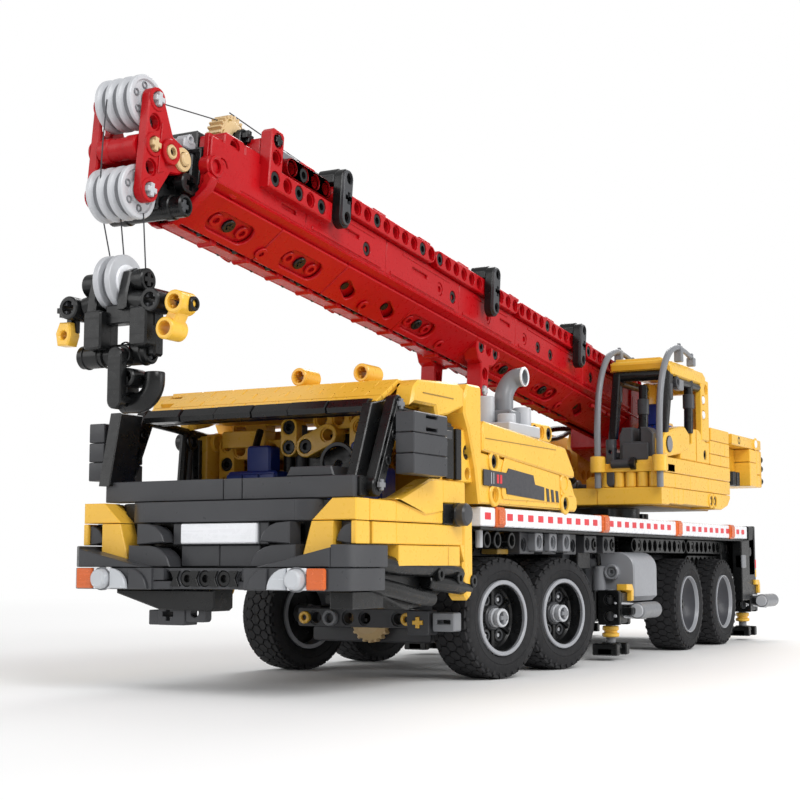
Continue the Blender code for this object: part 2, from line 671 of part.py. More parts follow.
def head_sheaves():
    """Sheaves on one axle, each set turned as one spool with three rope grooves."""
    half_length, bore_r = 7.8, 2.38
    flange_pitch, flange_width = 4.5, 2.1
    groove_r, groove_half = 7.0, 1.2
    profile = []
    for i in range(4):
        top = half_length - flange_pitch * i
        bottom = top - flange_width
        profile += [(SHEAVE_R, top), (SHEAVE_R, bottom)]
        if i < 3:
            profile.append((groove_r, bottom - groove_half))
    profile += [(bore_r, -half_length), (bore_r, half_length)]
    for name, n in (("upper_sheaves", HEAD_TOP_N), ("lower_sheaves", HEAD_LOW_N)):
        matrix = cross_axle_matrix(*boom_point(HEAD_S, n))
        turned_piece(name, "light_grey", profile, matrix, 20)


# Luffing frame: local Z points from the turret's front pin to the boom lug.
LUG_Y, LUG_Z = boom_point(LUG_S, LUG_N)
LUFF_REACH = Vector((0, LUG_Y - CYLINDER_Y, LUG_Z - CYLINDER_Z))
LUFF_LENGTH = LUFF_REACH.length
LUFF_TURN = Vector((0, 0, 1)).rotation_difference(LUFF_REACH.normalized())
LUFF_FRAME = (Matrix.Translation(Vector((0, CYLINDER_Y, CYLINDER_Z)) * MM)
              @ LUFF_TURN.to_matrix().to_4x4())


def luff_shape(distance, radius, length, axis, segments):
    """Cylinder centred at a distance from the foot pin, in the luffing frame."""
    return transformed(cylinder(0, 0, distance, radius, length, axis, segments), LUFF_FRAME)


def luff_cylinder():
    piece("luff_cylinder", "mid_grey",
          [luff_shape(54.0, 5.6, 100.0, "Z", 24), luff_shape(0, 4.6, 11.0, "X", 20)],
          [luff_shape(64.0, 3.1, 100.0, "Z", 20), luff_shape(0, 2.46, 16.0, "X", 16)],
          origin=(0, CYLINDER_Y, CYLINDER_Z))


def luff_rod():
    start = 22.0      # inner end of the rod, inside the cylinder
    piece("luff_rod", "light_grey",
          [luff_shape((start + LUFF_LENGTH) / 2, 3.04, LUFF_LENGTH - start, "Z", 20),
           luff_shape(LUFF_LENGTH, 4.0, 15.0, "X", 20)],
          [luff_shape(LUFF_LENGTH, 2.46, 20.0, "X", 16)],
          origin=(0, LUG_Y, LUG_Z))


# ============================================================================
# hook
# ============================================================================
def hook_block():
    """Sheave between side connectors, two uprights and a cross tube."""
    y = HOOK_Y
    connector = [(y - 7.0, 129.2), (y - 4.0, 143.0), (y + 4.0, 143.0), (y + 7.0, 129.2)]
    shapes = [cylinder(0, y, HOOK_SHEAVE_Z, SHEAVE_R, 7.4, "X", 24)]
    for side in (-1, 1):
        shapes += [outline(connector, *span(side, 3.6, 12.0)),
                   box(*span(side, 10.4, 22.8), y - 5.6, y + 3.6, 128.8, 136.2),
                   box(*span(side, 14.0, 20.8), y - 4.6, y + 2.6, 120.4, 130.0)]
    shapes += [box(x0, x1, y - 8.0, y - 2.0, 113.6, 131.0)
               for x0, x1 in ((6.9, 13.0), (-11.4, -5.2))]     # uprights
    shapes += [cylinder(0, y, HOOK_TUBE_Z, 3.8, 29.0, "X", 16),
               cylinder(0, y, HOOK_SHEAVE_Z, 2.3, 26.0, "X", 12)]
    piece("hook_block", "black", shapes, origin=(0, y, HOOK_SHEAVE_Z))


def hook():
    """Hook that curls towards +X from the foot of a flat shank."""
    y = HOOK_Y
    shank_x = 2.6
    bend_x, bend_r = 6.0, 8.6
    path = [(3.0, y, HOOK_EYE_Z), (bend_x, y, HOOK_EYE_Z)]
    for i in range(1, 7):
        angle = math.radians(90.0 * i / 6)
        path.append((bend_x + bend_r * math.sin(angle), y,
                     HOOK_EYE_Z + bend_r * (1 - math.cos(angle))))
    path.append((bend_x + bend_r, y, 109.0))
    shank = upright_slot(shank_x, HOOK_EYE_Z, HOOK_TUBE_Z, 3.7)
    piece("hook", "black",
          [tube(path, 4.0),
           outline(shank, y - 8.2, y - 4.2, "XZ"),
           box(-0.8, 6.0, y - 5.2, y + 3.5, 95.4, 102.0),      # block at the shank's foot
           cylinder(7.6, y, 106.8, 3.8, 7.6, "Y", 16),         # boss inside the curl
           box(0.6, 7.0, y - 5.0, y + 2.0, 101.0, 108.0)],
          origin=(shank_x, y, HOOK_TUBE_Z))


# ---- build -----------------------------------------------------------------
for build in (chassis_frame, front_axle_carrier, rear_axle_carrier, front_bumper,
              front_panel, cab_body, cab_roof, windscreen_frame, mirrors, engine_cover,
              exhaust_pipe, side_rails, fuel_tank, rear_bumper, outrigger_boxes,
              turntable_ring, wheels, outriggers, turret_frame, operator_cab,
              counterweight, winch_drum, boom_base, boom_inner, boom_head, head_sheaves,
              luff_cylinder, luff_rod, hook_block, hook):
    build()

# move everything so the origin lies under the middle of the truck's bounds
for collection in (TRUCK, CUTTERS):
    for member in collection.objects:
        member.location.y += SHIFT_Y * MM
bpy.context.view_layer.update()
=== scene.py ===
"""Looks of the toy crane truck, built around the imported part.

Lengths are millimetres in the truck's drawing frame: X to the truck's left, Y from the
bumper line to the rear, Z up.  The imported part's frame is the same one moved by
DATUM_Y along Y, and every piece is written in metres.

Shapes gather in one mesh per group and finish.  Many take text tables, with spaces
between columns and commas between rows:
  outline   u v                   in the plane across the plate's axis
  profile   radius height         of a turned piece
  path      x y z                 of a tube
  holes     u v                   round with a counterbore
            u v radius            plain round
            u v x                 for a cross axle
  boxes     x0 x1 y0 y1 z0 z1     with a chamfer as a seventh column where it isn't usual
"""
import json
import math
from contextlib import contextmanager
from itertools import product
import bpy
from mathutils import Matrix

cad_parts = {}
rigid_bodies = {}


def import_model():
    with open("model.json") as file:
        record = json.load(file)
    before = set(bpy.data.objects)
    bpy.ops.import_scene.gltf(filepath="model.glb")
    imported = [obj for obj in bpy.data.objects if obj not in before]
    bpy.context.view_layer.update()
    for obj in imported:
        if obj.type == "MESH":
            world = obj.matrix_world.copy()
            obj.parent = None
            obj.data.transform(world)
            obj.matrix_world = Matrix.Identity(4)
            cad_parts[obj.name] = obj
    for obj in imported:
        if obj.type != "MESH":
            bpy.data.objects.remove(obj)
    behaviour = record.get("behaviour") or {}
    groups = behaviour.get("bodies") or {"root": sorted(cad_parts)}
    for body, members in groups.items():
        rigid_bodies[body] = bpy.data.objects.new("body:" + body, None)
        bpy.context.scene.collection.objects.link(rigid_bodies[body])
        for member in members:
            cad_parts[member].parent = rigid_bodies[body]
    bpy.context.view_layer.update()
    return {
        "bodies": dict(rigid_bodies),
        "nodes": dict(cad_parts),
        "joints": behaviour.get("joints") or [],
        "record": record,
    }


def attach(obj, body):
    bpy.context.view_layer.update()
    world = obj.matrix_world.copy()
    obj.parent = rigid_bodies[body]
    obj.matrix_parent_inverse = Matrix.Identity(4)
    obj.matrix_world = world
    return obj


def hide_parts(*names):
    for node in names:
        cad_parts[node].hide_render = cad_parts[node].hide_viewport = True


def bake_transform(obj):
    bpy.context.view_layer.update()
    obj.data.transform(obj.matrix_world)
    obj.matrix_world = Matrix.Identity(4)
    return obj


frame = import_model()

from types import SimpleNamespace

import bmesh
import bpy
from mathutils import Matrix, Vector
from mathutils.geometry import tessellate_polygon

MM = 0.001
DATUM_Y = 227.3
BOOM_TILT = math.radians(6.3)
BOOM_PIVOT_Y, BOOM_PIVOT_Z = 424, 118
RAM_FOOT_Y, RAM_FOOT_Z = 338, 88        # lower pin of the luffing cylinder
RAM_PIN_S, RAM_PIN_N = 229, -15.6       # its upper pin, in the boom's frame
TURNTABLE_Y = 372
WHEEL_Z = 24.75
REAR_AXLES_Y = (364, 428)
SHEAVE_S = 478.8                        # sheave axles, along the boom
HOOK_Y = -52.2
HOOK_AXLE_Z = 139.6
SIDE_NAME = {1: "left", -1: "right"}

PARTS = {}       # (group, finish) -> [vertices, faces]
GROUPS = {}      # group -> (body it rides on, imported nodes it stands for)
pen = SimpleNamespace(group=None, frame=Matrix.Identity(4), side=1)


# ---- placing -----------------------------------------------------------------
def group(name, body, *nodes, frame=Matrix.Identity(4)):
    """Starts a group; shapes made after it are given in its frame."""
    pen.group, pen.frame = name, frame
    GROUPS[name] = (body, nodes)


def axes(origin, x_axis, y_axis, z_axis):
    """Matrix of a local frame with the given origin and axes."""
    return Matrix((*zip(x_axis, y_axis, z_axis, origin), (0, 0, 0, 1)))


@contextmanager
def inside(matrix):
    """Nests a local frame within the current one."""
    outer = pen.frame
    pen.frame = outer @ matrix
    yield
    pen.frame = outer


def both_sides(order=(-1, 1)):
    """Steps over right (-1) and left (1); shapes made meanwhile have their X on that side."""
    for pen.side in order:
        yield pen.side
    pen.side = 1


# boom frame: X to the left, Y (s) along the boom to its head, Z (n) square to it
BOOM = axes((0, BOOM_PIVOT_Y, BOOM_PIVOT_Z), (1, 0, 0),
            (0, -math.cos(BOOM_TILT), math.sin(BOOM_TILT)),
            (0, math.sin(BOOM_TILT), math.cos(BOOM_TILT)))


def rows(data):
    """Rows of a text table; anything but text passes unchanged."""
    if not isinstance(data, str):
        return data
    return [tuple(word if word == "x" else float(word) for word in row.split())
            for row in data.split(",")]


def put(mat, verts, faces):
    """Adds geometry to the current group's mesh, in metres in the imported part's frame."""
    part = PARTS.setdefault((pen.group, mat), [[], []])
    base = len(part[0])
    for vert in verts:
        p = pen.frame @ Vector(vert)
        part[0].append((p.x * MM, (p.y - DATUM_Y) * MM, p.z * MM))
    for face in faces:
        part[1].append(tuple(i + base for i in face))


# ---- outlines ----------------------------------------------------------------
def area(p):
    return sum(a[0] * b[1] - b[0] * a[1] for a, b in zip(p, p[1:] + p[:1])) / 2


def anticlockwise(points):
    points = list(points)
    if area(points) < 0:
        points.reverse()
    return points


def inset(points, depth):
    """Anticlockwise outline moved inwards by depth, with mitred corners."""
    out, n = [], len(points)
    for i in range(n):
        u, v = points[i]
        before = Vector((u - points[i - 1][0], v - points[i - 1][1]))
        after = Vector((points[(i + 1) % n][0] - u, points[(i + 1) % n][1] - v))
        if before.length < 1e-9 or after.length < 1e-9:
            out.append((u, v))
            continue
        before.normalize()
        after.normalize()
        normal = Vector((-before.y, before.x))
        mitre = normal + Vector((-after.y, after.x))
        if mitre.length < 1e-6:
            out.append((u + normal.x * depth, v + normal.y * depth))
            continue
        mitre.normalize()
        reach = depth / max(0.45, mitre.dot(normal))
        out.append((u + mitre.x * reach, v + mitre.y * reach))
    return out


def convex(p):
    for i in range(len(p)):
        a, b, c = p[i - 1], p[i], p[(i + 1) % len(p)]
        if (b[0] - a[0]) * (c[1] - b[1]) - (b[1] - a[1]) * (c[0] - b[0]) < -1e-6:
            return False
    return True


def arc(u, v, ru, rv, degrees):
    """Points of an ellipse about (u, v)."""
    return [(u + ru * math.cos(math.radians(t)), v + rv * math.sin(math.radians(t)))
            for t in degrees]


def ring(u, v, r, n=14):
    return [(u + r * math.cos(2 * math.pi * i / n), v + r * math.sin(2 * math.pi * i / n))
            for i in range(n)]


def plus(u, v, r=2.45, w=0.95):
    """Cross of arm length r and half width w."""
    corners = ((r, -w), (r, w), (w, w), (w, r), (-w, r), (-w, w),
               (-r, w), (-r, -w), (-w, -w), (-w, -r), (w, -r), (w, -w))
    return [(u + a, v + b) for a, b in corners]


def rect(u0, u1, v0, v1, r, n=4):
    """Rounded rectangle; r is one radius or four (from +u+v anticlockwise)."""
    radii = r if isinstance(r, tuple) else (r,) * 4
    corners = ((u1, v1, -1, -1), (u0, v1, 1, -1), (u0, v0, 1, 1), (u1, v0, -1, 1))
    out = []
    for k, ((u, v, du, dv), q) in enumerate(zip(corners, radii)):
        out += arc(u + du * q, v + dv * q, q, q, [90 * k + 90 * i / n for i in range(n + 1)])
    return out


def oval(u0, v0, u1, v1, r, n=8):
    """Straight slot with round ends about two points."""
    turned = math.atan2(v1 - v0, u1 - u0)
    out = []
    for u, v, start in ((u1, v1, -90), (u0, v0, 90)):
        for i in range(n + 1):
            t = turned + math.radians(start + 180 * i / n)
            out.append((u + r * math.cos(t), v + r * math.sin(t)))
    return out


# ---- shapes ------------------------------------------------------------------
# (u, v) across an axis and h along it, as x, y, z
ALONG = {"X": lambda u, v, h: (h, u, v), "Y": lambda u, v, h: (u, h, v),
         "Z": lambda u, v, h: (u, v, h)}


def box(mat, x0, x1, y0, y1, z0, z1, chamfer=0.28):
    """Block with chamfered edges."""
    spans = ((pen.side * x0, pen.side * x1), (y0, y1), (z0, z1))
    ends = tuple(zip(*map(sorted, spans)))
    chamfer = min(chamfer, *((high - low) * 0.3 for low, high in zip(*ends)))
    verts, index = [], {}
    for corner in product((0, 1), repeat=3):
        for k in range(3):
            index[corner, k] = len(verts)
            verts.append(tuple(ends[corner[a]][a] + (a != k) * chamfer * (1 - 2 * corner[a])
                               for a in range(3)))
    faces = []
    for k in range(3):
        a, b = (k + 1) % 3, (k + 2) % 3

        def vert(end, at_a, at_b, face):
            corner = [end] * 3
            corner[a], corner[b] = at_a, at_b
            return index[tuple(corner), face]

        for end in (0, 1):
            faces.append([vert(end, p, q, k) for p, q in ((0, 0), (1, 0), (1, 1), (0, 1))])
        for p, q in product((0, 1), repeat=2):
            faces.append([vert(0, p, q, a), vert(1, p, q, a), vert(1, p, q, b), vert(0, p, q, b)])
    for corner in product((0, 1), repeat=3):
        faces.append([index[corner, k] for k in range(3)])
    put(mat, verts, faces)


def boxes(mat, table):
    for row in rows(table):
        box(mat, *row)


def plate(mat, outline, lo, hi, axis="X", chamfer=0.25, holes=()):
    """Plate from an outline, with chamfered rims and real holes.
    Holes are rows as in the opening note, or outlines given as lists."""
    side = pen.side
    if axis == "X":
        lo, hi, side = side * lo, side * hi, 1
    lo, hi = sorted((lo, hi))
    chamfer = min(chamfer, (hi - lo) * 0.3)
    verts, faces = [], []

    def wall(levels):
        """Joins (points, height) levels; returns the first and last starts and the count."""
        n, starts = len(levels[0][0]), []
        for points, h in levels:
            starts.append(len(verts))
            verts.extend(ALONG[axis](u, v, h) for u, v in points)
        for low, high in zip(starts, starts[1:]):
            for i in range(n):
                j = (i + 1) % n
                faces.append((low + i, low + j, high + j, high + i))
        return starts[0], starts[-1], n

    def chamfered(rim, body):
        return [(rim, lo), (body, lo + chamfer), (body, hi - chamfer), (rim, hi)]

    outline = anticlockwise((side * u, v) for u, v in rows(outline))
    rim = inset(outline, chamfer)
    loops = [wall(chamfered(rim, outline))]
    rims = [rim]
    for hole in rows(holes):
        if isinstance(hole, list):
            bore = anticlockwise((side * u, v) for u, v in hole)
            levels = chamfered(inset(bore, -chamfer), bore)
        else:
            u, v = side * hole[0], hole[1]
            if len(hole) == 2:
                step = min(0.85, (hi - lo) * 0.3)
                mouth, wide, bore = ring(u, v, 3.12), ring(u, v, 3), ring(u, v, 2.42)
                levels = [(mouth, lo), (wide, lo + 0.15), (wide, lo + step), (bore, lo + step),
                          (bore, hi - step), (wide, hi - step), (wide, hi - 0.15), (mouth, hi)]
            elif hole[2] == "x":
                levels = [(plus(u, v), lo), (plus(u, v), hi)]
            else:
                levels = chamfered(ring(u, v, hole[2] + chamfer * 0.7), ring(u, v, hole[2]))
        loops.append(wall(levels))
        rims.append(levels[0][0])
    lower, upper = [], []
    for first, last, n in loops:
        lower += range(first, first + n)
        upper += range(last, last + n)
    if not holes and convex(rim):
        faces += [tuple(lower), tuple(upper)]
    else:
        for tri in tessellate_polygon([[Vector((u, v, 0)) for u, v in p] for p in rims]):
            faces.append(tuple(lower[i] for i in tri))
            faces.append(tuple(upper[i] for i in tri))
    put(mat, verts, faces)


def skin(pairs, n):
    """Faces between pairs of rings of n vertices; a ring may be a single point."""
    faces = []
    for A, B in pairs:
        for i in range(n):
            j = (i + 1) % n
            if len(A) == 1:
                faces.append((A[0], B[i], B[j]))
            elif len(B) == 1:
                faces.append((A[i], A[j], B[0]))
            else:
                faces.append((A[i], A[j], B[j], B[i]))
    return faces


def turn(mat, profile, x, y, z, axis="X", n=28, sign=1):
    """Turned piece about an axis; its profile ends on the axis or closes on itself."""
    if axis == "X":
        sign *= pen.side
    verts, rings = [], []
    for r, h in rows(profile):
        count = 1 if r < 1e-6 else n
        rings.append(list(range(len(verts), len(verts) + count)))
        for i in range(count):
            t = 2 * math.pi * i / n
            u, v = (0, 0) if count == 1 else (r * math.cos(t), r * math.sin(t))
            p = ALONG[axis](u, v, h * sign)
            verts.append((pen.side * x + p[0], y + p[1], z + p[2]))
    pairs = list(zip(rings, rings[1:]))
    if len(rings[0]) > 1 and len(rings[-1]) > 1:
        pairs.append((rings[-1], rings[0]))
    put(mat, verts, skin(pairs, n))


def bar(mat, x, y, z, r, length, axis="X", bore=0.0, chamfer=0.3, n=24):
    """Round bar about its middle, or a bush when a bore radius is given."""
    h = length / 2
    c = min(chamfer, h * 0.4, r * 0.3)
    outside = [(r - c, -h), (r, -h + c), (r, h - c), (r - c, h)]
    if bore <= 0:
        profile = [(0, -h), *outside, (0, h)]
    else:
        lip = bore + c * 0.6
        profile = [(bore, -h + c), (lip, -h), *outside, (lip, h), (bore, h - c)]
    # a bar always runs towards +X, so its sign cancels the mirroring
    turn(mat, profile, x, y, z, axis, n, pen.side if axis == "X" else 1)


def pin(x, y, z, axis="X", sign=1, mat="black"):
    """Connector pin end in a hole whose face is at the point, facing along sign * axis."""
    turn(mat, "1.45 -0.3, 2.55 -0.3, 2.85 -0.5, 2.85 -0.8, 2.3 -0.8, 2.3 -3.5, 1.45 -3.5",
         x, y, z, axis, 14, sign)
    turn(mat, "0 -1.8, 1.5 -1.8, 1.5 -3.5, 0 -3.5", x, y, z, axis, 10, sign)


def axle(mat, x, y, z, length, axis="X", r=2.35):
    """Cross axle centred on a point."""
    u, v, h = {"X": (y, z, x), "Y": (x, z, y), "Z": (x, y, z)}[axis]
    plate(mat, plus(u, v, r, 0.88), h - length / 2, h + length / 2, axis, 0.2)


def beam(mat, u0, v0, u1, v1, lo, hi, axis, kinds, r=3.85):
    """Straight beam with evenly spaced holes; kinds spells them o (open), x (cross), p (pin)."""
    side, pen.side = pen.side, 1
    if axis == "X":
        lo, hi = side * lo, side * hi
    else:
        u0, u1 = side * u0, side * u1
    holes = []
    for i, kind in enumerate(kinds):
        t = i / (len(kinds) - 1)
        u, v = u0 + (u1 - u0) * t, v0 + (v1 - v0) * t
        holes.append((u, v, "x") if kind == "x" else (u, v))
        if kind == "p":
            pin(*ALONG[axis](u, v, max(lo, hi)), axis, 1)
            pin(*ALONG[axis](u, v, min(lo, hi)), axis, -1)
    plate(mat, oval(u0, v0, u1, v1, r), lo, hi, axis, 0.3, holes)
    pen.side = side


def tube(mat, path, r, n=12, bore=0):
    """Hose or rod along a path, closed at both ends; bore recesses the far end."""
    points = [Vector((pen.side * x, y, z)) for x, y, z in rows(path)]
    last = len(points) - 1
    steps = [(b - a).normalized() for a, b in zip(points, points[1:])]
    up = Vector((0, 0, 1)) if abs(steps[0].z) < 0.9 else Vector((1, 0, 0))
    normal = steps[0].cross(up).normalized()
    verts, rings = [], []
    for i, point in enumerate(points):
        # sections here: radius, shift along the path
        if i == 0:
            along = steps[0]
            sections = [(0, 0), (r * 0.86, 0), (r, r * 0.14)]
        elif i < last:
            along = (steps[i] + steps[i - 1]).normalized()
            sections = [(r, 0)]
        else:
            along = steps[-1]
            sections = [(r, -r * 0.14), (r * 0.86, 0), (0, 0)]
            if bore:
                sections = [(r, -r * 0.14), (r * 0.93, 0), (bore, 0), (bore, -4), (0, -4)]
        normal = (normal - along * normal.dot(along)).normalized()
        across = along.cross(normal)
        for radius, shift in sections:
            centre = point + along * shift
            count = n if radius else 1
            rings.append(list(range(len(verts), len(verts) + count)))
            for k in range(count):
                a = 2 * math.pi * k / n
                verts.append(tuple(centre + (normal * math.cos(a) + across * math.sin(a)) * radius))
    put(mat, verts, skin(zip(rings, rings[1:]), n))


def curve(path, n=6):
    """Smooth path through points, n steps between neighbours."""
    P = [Vector(p) for p in rows(path)]
    Q = [P[0] * 2 - P[1]] + P + [P[-1] * 2 - P[-2]]
    out = []
    for a, b, c, d in zip(Q, Q[1:], Q[2:], Q[3:]):
        for k in range(n):
            t = k / n
            out.append(0.5 * ((2 * b) + (c - a) * t + (2 * a - 5 * b + 4 * c - d) * t * t
                              + (3 * b - a - 3 * c + d) * t ** 3))
    out.append(P[-1])
    return [tuple(p) for p in out]


def gear(mat, u, v, radius, lo, hi, axis, teeth):
    """Spur gear about (u, v), with teeth 1.3 deep."""
    points = []
    for i in range(teeth):
        for k, r in ((-0.3, radius - 1.3), (-0.16, radius), (0.16, radius), (0.3, radius - 1.3)):
            t = 2 * math.pi * (i + k) / teeth
            points.append((u + r * math.cos(t), v + r * math.sin(t)))
    plate(mat, points, lo, hi, axis, 0.2, [(u, v, 2.4)])


# ---- finishes ----------------------------------------------------------------
LOOK = {  # sRGB, roughness, colour mottle, bump, coat
    "red": ((172, 4, 15), 0.30, 0.05, 0.3, 0.05), "yellow": ((235, 184, 62), 0.30, 0.04, 0.3, 0.15),
    "dgrey": ((60, 61, 64), 0.33, 0.06, 0.3, 0.06), "black": ((13, 14, 15), 0.30, 0.06, 0.3, 0.08),
    "blue": ((10, 44, 132), 0.34, 0.06, 0.3, 0.15), "lgrey": ((180, 182, 186), 0.35, 0.04, 0.3, 0.1),
    "mgrey": ((118, 120, 124), 0.35, 0.05, 0.3, 0.1), "tan": ((205, 176, 128), 0.40, 0.07, 0.5, 0.1),
    "orange": ((226, 104, 34), 0.22, 0.10, 0.4, 0.4), "white": ((232, 234, 238), 0.26, 0.03, 0.4, 0.3),
    "lamp": ((205, 209, 214), 0.16, 0.04, 0.3, 0.5), "redmark": ((214, 40, 52), 0.35, 0.05, 0.3, 0.1),
    "tyre": ((30, 30, 32), 0.72, 0.14, 1.4, 0.0), "rope": ((60, 60, 64), 0.7, 0.2, 1.0, 0.0),
    "ringgrey": ((150, 152, 157), 0.35, 0.04, 0.3, 0.1), "dish": ((46, 47, 53), 0.37, 0.06, 0.3, 0.1),
    "tank": ((146, 148, 153), 0.34, 0.04, 0.3, 0.1), "sheave": ((188, 190, 194), 0.35, 0.04, 0.3, 0.1),
    # the darker yellow on the next line is the yellow with painted shade, for yellow faces in bores,
    # seams, undersides and recesses
    "ydark": ((205, 150, 30), 0.34, 0.06, 0.5, 0.2), "decal": ((62, 62, 66), 0.42, 0.05, 0.2, 0.0),
    "brass": ((150, 118, 40), 0.42, 0.08, 0.4, 0.1),
}
SPECULAR = {"red": 0.2, "black": 0.3, "dgrey": 0.3, "dish": 0.3, "tyre": 0.3, "decal": 0.3}
FINISHES = {}


def linear(rgb):
    """Linear light from 8-bit sRGB."""
    return tuple((v / 255 / 12.92) if v / 255 <= 0.04045 else ((v / 255 + 0.055) / 1.055) ** 2.4
                 for v in rgb)


def finish_of(key):
    """Plastic with mottled colour, handling wear and a fine bump; made on first use."""
    if key in FINISHES:
        return FINISHES[key]
    rgb, roughness, mottle, bump, coat = LOOK[key]
    base = linear(rgb)
    mat = bpy.data.materials.new("finish_" + key)
    mat.use_nodes = True
    nodes, link = mat.node_tree.nodes, mat.node_tree.links.new
    shader = nodes["Principled BSDF"]
    coords = nodes.new("ShaderNodeTexCoord").outputs["Object"]

    def noise(scale, detail, roughness=0.55, stretch=None):
        node = nodes.new("ShaderNodeTexNoise")
        node.inputs["Scale"].default_value = scale
        node.inputs["Detail"].default_value = detail
        node.inputs["Roughness"].default_value = roughness
        vector = coords
        if stretch:
            mapping = nodes.new("ShaderNodeMapping")
            mapping.inputs["Scale"].default_value = stretch
            mapping.inputs["Rotation"].default_value = (0.4, 0.3, 0.6)
            link(coords, mapping.inputs["Vector"])
            vector = mapping.outputs["Vector"]
        link(vector, node.inputs["Vector"])
        return node.outputs["Fac"]

    def mix(factor, a, b):
        node = nodes.new("ShaderNodeMix")
        node.data_type = "RGBA"
        # inputs 0, 6 and 7 are the factor and the two colours
        for socket, value in zip((node.inputs[0], node.inputs[6], node.inputs[7]), (factor, a, b)):
            if isinstance(value, bpy.types.NodeSocket):
                link(value, socket)
            else:
                socket.default_value = value
        return node.outputs[2]

    def remap(value, to_min, to_max, from_min, from_max):
        node = nodes.new("ShaderNodeMapRange")
        node.inputs["From Min"].default_value = from_min
        node.inputs["From Max"].default_value = from_max
        node.inputs["To Min"].default_value = to_min
        node.inputs["To Max"].default_value = to_max
        link(value, node.inputs["Value"])
        return node.outputs["Result"]

    def bumped(height, strength, distance):
        node = nodes.new("ShaderNodeBump")
        node.inputs["Strength"].default_value = min(1.0, strength)
        node.inputs["Distance"].default_value = distance
        link(height, node.inputs["Height"])
        return node

    def shade(factor, lift=0.0):
        """Base colour scaled and lifted."""
        return tuple(min(1, v * factor + lift) for v in base) + (1,)

    broad = noise(scale=28, detail=3)
    medium = noise(scale=420, detail=3)
    scratches = noise(scale=30, detail=2, roughness=0.5, stretch=(1, 22, 30))
    colour = mix(remap(broad, 0, 1, 0.32, 0.68), shade(1 - mottle), shade(1 + mottle, 0.004))
    # handling wear: faint lighter rubs and darker specks
    colour = mix(remap(scratches, 0, 0.16, 0.60, 0.72), colour, shade(1.12, 0.004))
    colour = mix(remap(medium, 0, 0.10, 0.62, 0.75), colour, shade(0.8))
    link(colour, shader.inputs["Base Color"])
    rough = nodes.new("ShaderNodeMath")
    rough.operation = "ADD"
    rough.use_clamp = True
    link(remap(medium, roughness - 0.06, roughness + 0.08, 0.3, 0.7), rough.inputs[0])
    link(remap(scratches, 0, 0.14, 0.56, 0.72), rough.inputs[1])
    link(rough.outputs[0], shader.inputs["Roughness"])
    if key == "rope":
        wave = nodes.new("ShaderNodeTexWave")
        wave.wave_type = "BANDS"
        wave.bands_direction = "DIAGONAL"
        wave.inputs["Scale"].default_value = 900
        link(coords, wave.inputs["Vector"])
        small_bump = bumped(wave.outputs["Fac"], bump * 0.5, distance=0.0001)
    else:
        small_bump = bumped(noise(scale=2600, detail=2), bump * 0.5, distance=0.00002)
    broad_bump = bumped(broad, bump * 0.6, distance=0.00004)
    link(small_bump.outputs["Normal"], broad_bump.inputs["Normal"])
    link(broad_bump.outputs["Normal"], shader.inputs["Normal"])
    shader.inputs["Coat Weight"].default_value = coat
    shader.inputs["Coat Roughness"].default_value = 0.18
    shader.inputs["IOR"].default_value = 1.5
    shader.inputs["Specular IOR Level"].default_value = SPECULAR.get(key, 0.45)
    if key in ("lamp", "orange"):
        shader.inputs["Transmission Weight"].default_value = 0.15
    FINISHES[key] = mat
    return mat


# ---- meshes and objects ------------------------------------------------------
def make_mesh(name, part, mat, angle=32):
    """Smooth mesh with edges sharper than the angle (degrees) kept sharp."""
    mesh = bpy.data.meshes.new(name)
    mesh.from_pydata(part[0], [], part[1])
    bm = bmesh.new()
    bm.from_mesh(mesh)
    bmesh.ops.recalc_face_normals(bm, faces=bm.faces)
    bm.to_mesh(mesh)
    bm.free()
    mesh.validate()
    mesh.shade_smooth()
    mesh.set_sharp_from_angle(angle=math.radians(angle))
    mesh.materials.append(finish_of(mat))
    return mesh


def add_object(name, mesh):
    ob = bpy.data.objects.new(name, mesh)
    bpy.context.scene.collection.objects.link(ob)
    return ob


def take_parts():
    """Hands over the gathered parts and starts afresh."""
    parts = dict(PARTS)
    PARTS.clear()
    return parts


def build_groups():
    first = {}
    for (name, mat), part in take_parts().items():
        full_name = "%s_%s" % (name, mat)
        ob = add_object(full_name, make_mesh(full_name, part, mat))
        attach(ob, GROUPS[name][0])
        first.setdefault(name, ob)
    for name, (_, nodes) in GROUPS.items():
        if nodes and name in first:
            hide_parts(*nodes)


